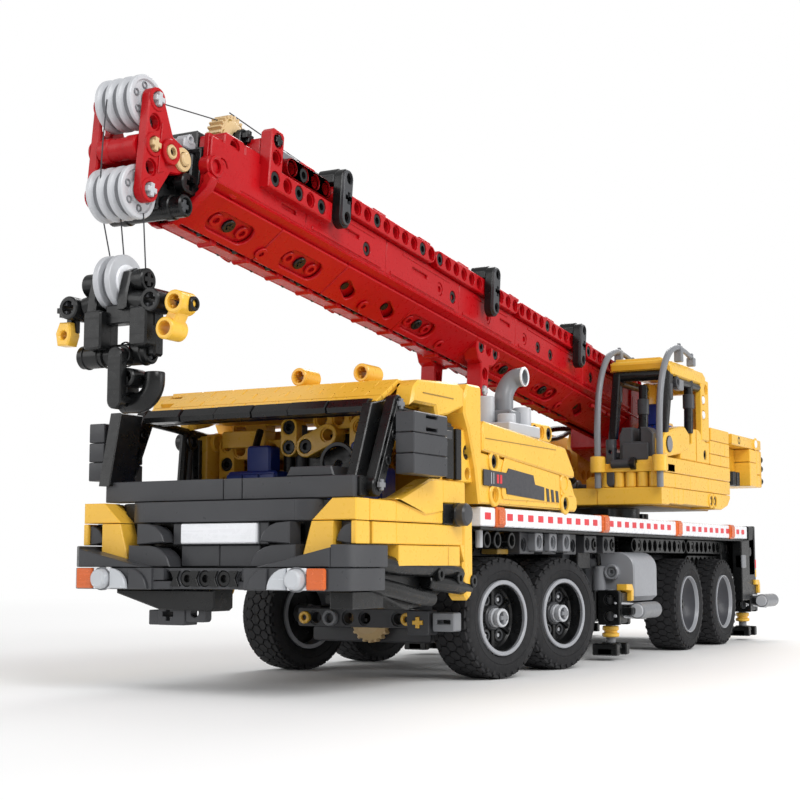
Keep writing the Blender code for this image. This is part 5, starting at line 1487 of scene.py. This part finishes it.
# ============================================================================
# hook block and hook
# ============================================================================
group("block", "hook_block", "hook_block")
turn("lgrey", "7 3.4, 8.9 3.6, 9.2 3.3, 9.2 1.6, 8.9 1.3, 7 1.3, 3.6 1.3, 3.6 3.6",
     0, HOOK_Y, HOOK_AXLE_Z, "X", 48)
turn("lgrey", "3.6 -1.3, 8.9 -1.3, 9.2 -1.6, 9.2 -3.3, 8.9 -3.6, 7 -3.4, 3.6 -3.6",
     0, HOOK_Y, HOOK_AXLE_Z, "X", 48)
bar("mgrey", 0, HOOK_Y, HOOK_AXLE_Z, 7, 3, "X", 0, 0.2, 32)
for side in both_sides((1, -1)):
    turn("white", "2.4 3.5, 2.4 4.2, 5.4 4.2, 5.8 3.8, 5.8 3.5", 0, HOOK_Y, HOOK_AXLE_Z, "X", 32)
axle("black", 0, HOOK_Y, HOOK_AXLE_Z, 26, "X", 2.3)
cheek = [(HOOK_Y + y, z) for y, z in rows("""-6.6 129.4, -5.6 136, -3.6 142.4, 0 144, 3.8 142.4,
                                          5.6 136, 6.6 129.4""")]
for side, x in ((-1, -14.9), (1, 19.1)):
    plate("black", cheek, side * 4.4, side * 8.2, "X", 0.6, [(HOOK_Y, HOOK_AXLE_Z, 2.5)])
    bar("black", side * 10.2, HOOK_Y, 139.5, 4, 5, "X", 2.4, 0.4)
    # cross-hole connector facing forward, below the axle
    turn("black", "3.9 -4, 3.9 4, 3.5 4.4, 2.45 4.4, 2.45 -4.4, 3.5 -4.4", x, -55.6, 131.4, "Y")
    plate("dgrey", ring(x, 131.4, 2.5, 16), -59.2, -52, "Y", 0.05, [(x, 131.4, "x")])
    tube("black", [(side * 4.2, HOOK_Y - 1.6, 133.4), (x - side * 3.4, HOOK_Y - 2.8, 131.6)],
         3.4, 16)
    axle("black", x + side * 5.4, HOOK_Y - 2.4, 131.4, 4.6, "X", 2.1)
# yellow connectors: full ones on the truck's left, a small piece on the other side
turn("yellow", "3.8 -3.8, 3.8 3.8, 3.4 4.2, 2.45 4.2, 2.45 -4.2, 3.4 -4.2", 29, -56, 129.9, "Y")
# darker yellow cross insert in the connector's bore: painted shade
plate("ydark", ring(29, 129.9, 2.5, 16), -59, -52.4, "Y", 0.05, "29 129.9 x")
turn("yellow", "3.6 -3.8, 3.6 3.8, 3.2 4.2, 2.4 4.2, 2.4 -4.2, 3.2 -4.2", 25.4, -56, 121.6, "Y")
plate("yellow", "24.2 124.6, 26 127.6, 30 126.4, 28.4 123.4", -59, -52.8, "Y", 0.5)
bar("black", 32, HOOK_Y - 2.6, 129.5, 2.4, 3.6, "X", 1.3)
plate("yellow", "-20.6 119.2, -16 119, -14.8 122.6, -15.4 126.8, -19.8 127, -21.4 123.4",
      -58.6, -53.4, "Y", 0.5, "-18 122.6 1.5")
for x in (16.2, -16.6):
    axle("black", x, -55, 126, 5, "Z", 2.1)
# flat-faced uprights either side of an open gap
for x0, x1 in ((10.8, 18), (-8.2, -0.8)):
    plate("black", rect(x0, x1, 116.8, 129.6, 1.2), -60, -54.2, "Y", 0.6)
    box("black", x0 + 0.6, x1 - 0.6, -54.6, -49.6, 114, 131, 0.7)
plate("black", rect(-1.2, 11.2, 125, 131.4, 0.8), -57, -51.6, "Y", 0.4)
turn("black", """2.3 14, 2.6 14.6, 3.4 14.6, 3.9 14.1, 3.9 6, 3.5 5.6, 3.5 -5.6, 3.9 -6,
     3.9 -14.1, 3.4 -14.6, 2.6 -14.6, 2.3 -14""", 0, HOOK_Y, 115.4)
axle("dgrey", 0, HOOK_Y, 115.4, 28.4, "X", 2.25)
for x in (-12, -4, 4, 12):
    turn("black", "3.85 -0.5, 4.25 -0.2, 4.25 0.2, 3.85 0.5", x, HOOK_Y, 115.4)

group("hook", "hook", "hook")
plate("black", oval(6, 99.4, 6, 114, 2.9), -61, -57.6, "Y", 0.4)
axle("black", 6.4, -56.4, 99.6, 8, "Y", 2)
bend = [(8.6 + 7.2 * math.sin(t), HOOK_Y, 99 + 7.2 * (1 - math.cos(t)))
        for t in map(math.radians, range(10, 91, 10))]
tube("black", [(4.4, HOOK_Y, 99.2), (8.6, HOOK_Y, 99), *bend, (15.8, HOOK_Y, 108.8)],
     3.4, 24, 2.2)
turn("black", "2 -4, 2.6 -4, 3 -3.5, 3 3.5, 2.6 4, 2 4", 9.2, -54.6, 107, "Y")
plate("dgrey", ring(9.2, 107, 2.05, 18), -55.4, -51.6, "Y", 0.1)
boxes("black", "3.2 8.6 -57.8 -50.4 101.6 108 0.8")
bar("black", 4.6, HOOK_Y, 99.6, 3.9, 3, "X", 2, 0.4)
bar("black", 6.4, -55.2, 114.6, 3.2, 4.6, "Y", 2)

build_groups()


# ============================================================================
# wheels: made once, in a frame with Z out of the outer face
# ============================================================================
def lug_tyre():
    """Tyre with sidewalls, ribs and rows of tread blocks."""
    turn("tyre", """15.55 8.4, 16.4 9.1, 18.6 9.75, 19 9.55, 19.4 9.85, 21.6 9.6, 22.9 8.9,
         23.7 7.9, 23.95 6.2, 23.95 -6.2, 23.7 -7.9, 22.9 -8.9, 21.6 -9.6, 19.4 -9.85, 19 -9.55,
         18.6 -9.75, 16.4 -9.1, 15.55 -8.4""", 0, 0, 0, "Z", 72)
    n = 34

    def block(angle, h, across, round_, r0, r1, outline):
        """One block at height h; its outline is scaled by the sizes round and across."""
        spot = axes((0, 0, h), (0, 1, 0), (0, 0, 1), (1, 0, 0))
        with inside(Matrix.Rotation(angle, 4, "Z") @ spot):
            plate("tyre", [(u * round_, v * across) for u, v in rows(outline)], r0, r1, "Z", 0.15)

    hexagon = "0.5 0.22, 0 0.5, -0.5 0.22, -0.5 -0.22, 0 -0.5, 0.5 -0.22"
    square = "0.5 0.5, -0.5 0.5, -0.5 -0.5, 0.5 -0.5"
    for i in range(n):
        angle = 2 * math.pi * i / n
        between = angle + math.pi / n
        block(angle, 0, 5.4, 3.9, 23.6, 24.7, hexagon)
        block(between, 4.1, 4.9, 3.9, 23.5, 24.65, hexagon)
        block(between, -4.1, 4.9, 3.9, 23.5, 24.65, hexagon)
        block(angle, 7.3, 2.6, 3.5, 23, 24.3, square)
        block(angle, -7.3, 2.6, 3.5, 23, 24.3, square)
        for face in (-1, 1):
            with inside(Matrix.Rotation(between, 4, "Z")):
                box("tyre", 21.9, 23.6, -0.8, 0.8, face * 8, face * 9.35, 0.15)


def bushed_rim():
    """Front rim: spokes, six small bushes and a long light hub bush."""
    turn("ringgrey", """13.6 9.35, 13.9 9.6, 15 9.6, 15.35 9.3, 15.35 -9.2, 13.6 -9.2, 13.6 7,
         14 7.6""", 0, 0, 0, "Z", 64)
    turn("black", """13.2 8, 12.9 3.4, 12.2 2.6, 3 2.6, 3 -2.5, 13.7 -2.5, 13.7 -1.5, 4.2 -1.5,
         4.2 1.4, 12.6 1.4, 13.7 2, 13.7 8""", 0, 0, 0, "Z", 48)
    for i in range(6):
        angle = math.radians(60 * i + 30)
        x, y = 8.4 * math.cos(angle), 8.4 * math.sin(angle)
        turn("dgrey", "1.6 2.7, 1.7 3.3, 2.4 3.3, 2.6 3, 2.6 2.5, 1.6 2.5", x, y, 0, "Z", 16)
        turn("lgrey", "0 2.9, 0.8 2.8, 0.9 2.5, 0 2.5", x, y, 0, "Z", 10)
        with inside(Matrix.Rotation(angle + math.radians(30), 4, "Z")):
            boxes("black", "4.6 12.6 -0.9 0.9 2.4 3.6 0.25")
    turn("dgrey", "2.5 2.4, 2.5 4.2, 4.8 4.2, 5.2 3.8, 5.2 2.4", 0, 0, 0, "Z")
    turn("lgrey", """2.4 3, 2.4 8.6, 2.7 9, 3.5 9, 3.8 8.7, 3.8 7, 3.3 6.6, 3.3 6, 3.9 5.6,
         3.9 4.2, 3 3.6""", 0, 0, 0, "Z")
    plate("mgrey", plus(0, 0, 2.35, 0.88), 0.5, 9.9, "Z")
    turn("mgrey", "2.5 -9, 4.2 -9, 4.2 -2.4, 2.5 -2.4", 0, 0, 0, "Z", 24)


def dished_rim():
    """Rear rim: dished disc with a hub cap and eight bolts."""
    turn("ringgrey", """14.6 9.3, 14.8 9.55, 15.1 9.55, 15.35 9.3, 15.35 -9.2, 13.6 -9.2,
         13.6 7, 14.4 8.2""", 0, 0, 0, "Z", 64)
    dish = [(r, 1.6 + 6.6 * (r / 14.5) ** 2.6) for r in (0, 2, 4, 6, 8, 10, 11.5, 12.7, 13.7, 14.5)]
    turn("dish", dish + [(14.5, 6), (10, -0.5), (0, -0.5)], 0, 0, 0, "Z", 64)
    turn("dgrey", "0 3, 2.2 2.9, 2.6 2.4, 2.7 1.5, 0 1.5", 0, 0, 0, "Z", 24)
    for x, y in arc(0, 0, 7.4, 7.4, range(20, 380, 45)):
        turn("dgrey", "0 3.1, 0.7 3, 0.9 2.6, 0.9 2, 0 2", x, y, 0, "Z", 10)
    turn("mgrey", "2.5 -9, 4.2 -9, 4.2 -0.4, 2.5 -0.4", 0, 0, 0, "Z", 24)


def wheel_meshes(kind, maker):
    """Shared meshes of a wheel piece, by finish, centred on the wheel."""
    group(kind, None, frame=Matrix.Translation((0, DATUM_Y, 0)))
    maker()
    return {mat: make_mesh(kind + "_" + mat, part, mat)
            for (_, mat), part in take_parts().items()}


tread = wheel_meshes("tread", lug_tyre)
front_rim = wheel_meshes("rimbush", bushed_rim)
rear_rim = wheel_meshes("rimdish", dished_rim)
STEER = Matrix.Rotation(math.radians(-14), 4, "Z")
# x, y of the left and right wheels of each axle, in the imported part's frame
WHEELS = (((49.01, -100.59), (-49.01, -92.61)), ((49.01, -36.59), (-49.01, -28.61)),
          *(((49.5, y - DATUM_Y), (-49.5, y - DATUM_Y)) for y in REAR_AXLES_Y))
for number, spots in enumerate(WHEELS, 1):
    steered = number <= 2
    for side, (x, y) in zip((1, -1), spots):
        wheel = "%d_%s" % (number, SIDE_NAME[side])
        placed = (Matrix.Translation((x * MM, y * MM, WHEEL_Z * MM))
                  @ (STEER if steered else Matrix.Identity(4))
                  @ Matrix.Rotation(math.radians(90 * side), 4, "Y"))
        for node, meshes in (("tyre", tread), ("rim", front_rim if steered else rear_rim)):
            for mat, mesh in meshes.items():
                ob = add_object("%s_%s_%s" % (node, wheel, mat), mesh)
                ob.matrix_world = placed
                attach(ob, "wheel_" + wheel)
            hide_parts("%s_%s" % (node, wheel))


# ============================================================================
# ropes
# ============================================================================
def rope_object(name, path):
    """Cord through points of the drawing frame, as one mesh with rings along it."""
    group("rope", None)
    tube("rope", path, 0.24, 8)
    (part,) = take_parts().values()
    return add_object(name, make_mesh(name, part, "rope", 60))


def line(a, b, n):
    return [tuple(a[k] + (b[k] - a[k]) * i / n for k in range(3)) for i in range(n + 1)]


def metres(point):
    return (point[0] * MM, (point[1] - DATUM_Y) * MM, point[2] * MM)


def stretched_rope(name, start, end, n):
    """Straight cord between two points."""
    ob = rope_object(name, line(start, end, n))
    metres(start)
    metres(end)
    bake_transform(ob)


def on_boom(x, s, n):
    return tuple(BOOM @ Vector((x, s, n)))


# the falls hang from the rope head where the part has one, otherwise from the lower sheaves
FALL_TOPS = rows("-9.4 -50.6 166, -1.6 -50.6 167.2, 7.8 -49.6 163")
FALL_ENDS = rows("-4.7 -50.2 146, 1.1 -50.2 143.4, 7.6 -47.6 144")
for i, (top, end) in enumerate(zip(FALL_TOPS, FALL_ENDS), 1):
    stretched_rope("fall_rope_%d" % i, top, end, 28)
# cord between the two sheave stacks, and the run back to the gear and the winch
head_rope = rope_object("head_rope", curve([on_boom(-1.4, 488.6, 29.5), on_boom(-1.7, 488.2, 14),
                                            on_boom(-2, 487.2, 1)]))
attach(head_rope, "boom_inner")
stretched_rope("lead_rope", on_boom(2, 472.4, 35.6), on_boom(2, 432, 43.4), 20)
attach(rope_object("winch_rope", line(on_boom(2, 425, 49), on_boom(2, 40, 36), 30)), "boom")

# ============================================================================
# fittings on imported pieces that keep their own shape
# ============================================================================
group("drumrope", "winch_drum")
for i in range(26):
    turn("rope", "6.1 -0.5, 7 -0.35, 7.2 0, 7 0.35, 6.1 0.5", -14.4 + 1.15 * i, 462, 112, "X", 32)

# luffing cylinder: a frame at its foot with Z along it
ram_pin = BOOM @ Vector((0, RAM_PIN_S, RAM_PIN_N))
along = Vector((0, ram_pin.y - RAM_FOOT_Y, ram_pin.z - RAM_FOOT_Z))
ram_length = along.length
along.normalize()
RAM = axes((0, RAM_FOOT_Y, RAM_FOOT_Z), (1, 0, 0), Vector((1, 0, 0)).cross(along), along)
group("cylinder", "luff_cylinder", frame=RAM)
for h in (6, 30, 56, 82, 100):
    turn("dgrey", [(5.6, h - 1.6), (6.3, h - 1.2), (6.3, h + 1.2), (5.6, h + 1.6)],
         0, 0, 0, "Z", 36)
turn("lgrey", "3.4 103.8, 5.2 103.8, 5.6 104.3, 5.2 105.6, 3.4 105.6", 0, 0, 0, "Z", 36)
for side in both_sides():
    tube("black", "6.6 0 14, 6.8 0 96", 0.9, 8)
    bar("black", 6.8, 0, 14, 1.6, 3, "Z")
    bar("black", 6.8, 0, 96, 1.6, 3, "Z")
group("rodend", "luff_rod", frame=RAM)
for side in both_sides():
    turn("dgrey", "2.5 7.5, 3.2 8, 4 8, 4.2 7.5", 0, 0, ram_length)
rod_collar = rows("3.04 -16, 3.9 -15.4, 4.2 -12, 4.2 -5, 3.04 -4")    # from the upper pin
turn("lgrey", [(r, ram_length + h) for r, h in rod_collar], 0, 0, 0, "Z")
build_groups()

KEPT_PIECES = {
    "turntable_ring": "black", "winch_drum": "dgrey", "luff_cylinder": "mgrey",
    "luff_rod": "lgrey", "knuckle_1_left": "dgrey", "knuckle_1_right": "dgrey",
    "knuckle_2_left": "dgrey", "knuckle_2_right": "dgrey"}
for name, key in KEPT_PIECES.items():
    ob = frame["nodes"][name]
    if ob.material_slots:
        for slot in ob.material_slots:
            slot.material = finish_of(key)
    else:
        ob.data.materials.append(finish_of(key))
    bevel = ob.modifiers.new("edge", "BEVEL")
    bevel.width = 0.00025
    bevel.segments = 2
    bevel.limit_method = "ANGLE"
    bevel.angle_limit = math.radians(40)

# ============================================================================
# studio, in metres
# ============================================================================
scene = bpy.context.scene
scene.view_settings.view_transform = "Standard"
scene.view_settings.look = "None"

# white world: dimmer as a light than as seen by the camera
world = bpy.data.worlds.new("studio")
scene.world = world
world.use_nodes = True
nodes, link = world.node_tree.nodes, world.node_tree.links.new
lighting = nodes["Background"]
backdrop = nodes.new("ShaderNodeBackground")
for background, strength in ((lighting, 0.56), (backdrop, 1.0)):
    background.inputs["Color"].default_value = (1, 1, 1, 1)
    background.inputs["Strength"].default_value = strength
light_path = nodes.new("ShaderNodeLightPath")
either = nodes.new("ShaderNodeMixShader")
link(light_path.outputs["Is Camera Ray"], either.inputs[0])
link(lighting.outputs[0], either.inputs[1])
link(backdrop.outputs[0], either.inputs[2])
link(either.outputs[0], nodes["World Output"].inputs["Surface"])

# the floor fades into the white backdrop away from the truck
floor_mat = bpy.data.materials.new("pale_floor")
floor_mat.use_nodes = True
nodes, link = floor_mat.node_tree.nodes, floor_mat.node_tree.links.new
shader = nodes["Principled BSDF"]
shader.inputs["Base Color"].default_value = (0.93, 0.93, 0.93, 1)
shader.inputs["Roughness"].default_value = 0.6
geometry = nodes.new("ShaderNodeNewGeometry")
distance = nodes.new("ShaderNodeVectorMath")
distance.operation = "LENGTH"
fade = nodes.new("ShaderNodeMapRange")
fade.interpolation_type = "SMOOTHSTEP"
fade.inputs["From Min"].default_value = 0.32
fade.inputs["From Max"].default_value = 1.5
glow = nodes.new("ShaderNodeEmission")
glow.inputs["Color"].default_value = (1, 1, 1, 1)
blended = nodes.new("ShaderNodeMixShader")
link(geometry.outputs["Position"], distance.inputs[0])
link(distance.outputs["Value"], fade.inputs["Value"])
link(fade.outputs["Result"], blended.inputs[0])
link(shader.outputs[0], blended.inputs[1])
link(glow.outputs[0], blended.inputs[2])
link(blended.outputs[0], nodes["Material Output"].inputs["Surface"])

bm = bmesh.new()
bmesh.ops.create_grid(bm, x_segments=8, y_segments=8, size=12.0)
mesh = bpy.data.meshes.new("floor")
bm.to_mesh(mesh)
bm.free()
mesh.materials.append(floor_mat)
add_object("floor", mesh)


def area_light(name, location, target, size, watts):
    """Square light aimed at a target."""
    light = bpy.data.lights.new(name, "AREA")
    light.shape = "RECTANGLE"
    light.size = light.size_y = size
    light.energy = watts
    ob = add_object(name, light)
    ob.location = location
    aim = Vector(target) - Vector(location)
    ob.rotation_euler = aim.to_track_quat("-Z", "Y").to_euler()


area_light("key", (1.3, -0.9, 1.25), target=(0, 0, 0.08), size=0.9, watts=20)
area_light("fill", (-1.2, -1.5, 0.8), target=(0, 0, 0.1), size=1.2, watts=9)
area_light("rim", (-0.4, 1.5, 1.2), target=(0, 0, 0.1), size=1.0, watts=12)
area_light("side", (1.6, 0.5, 0.5), target=(0, 0.05, 0.09), size=0.8, watts=8)

camera = bpy.data.cameras.new("camera")
camera.lens = 67.59
camera.sensor_width = 36
camera.clip_start = 0.01
camera.clip_end = 100
camera_ob = add_object("camera", camera)
camera_ob.location = (0.31952, -0.66584, 0.04699)
camera_ob.rotation_euler = (math.radians(96.2), 0, math.radians(28.83))
scene.camera = camera_ob
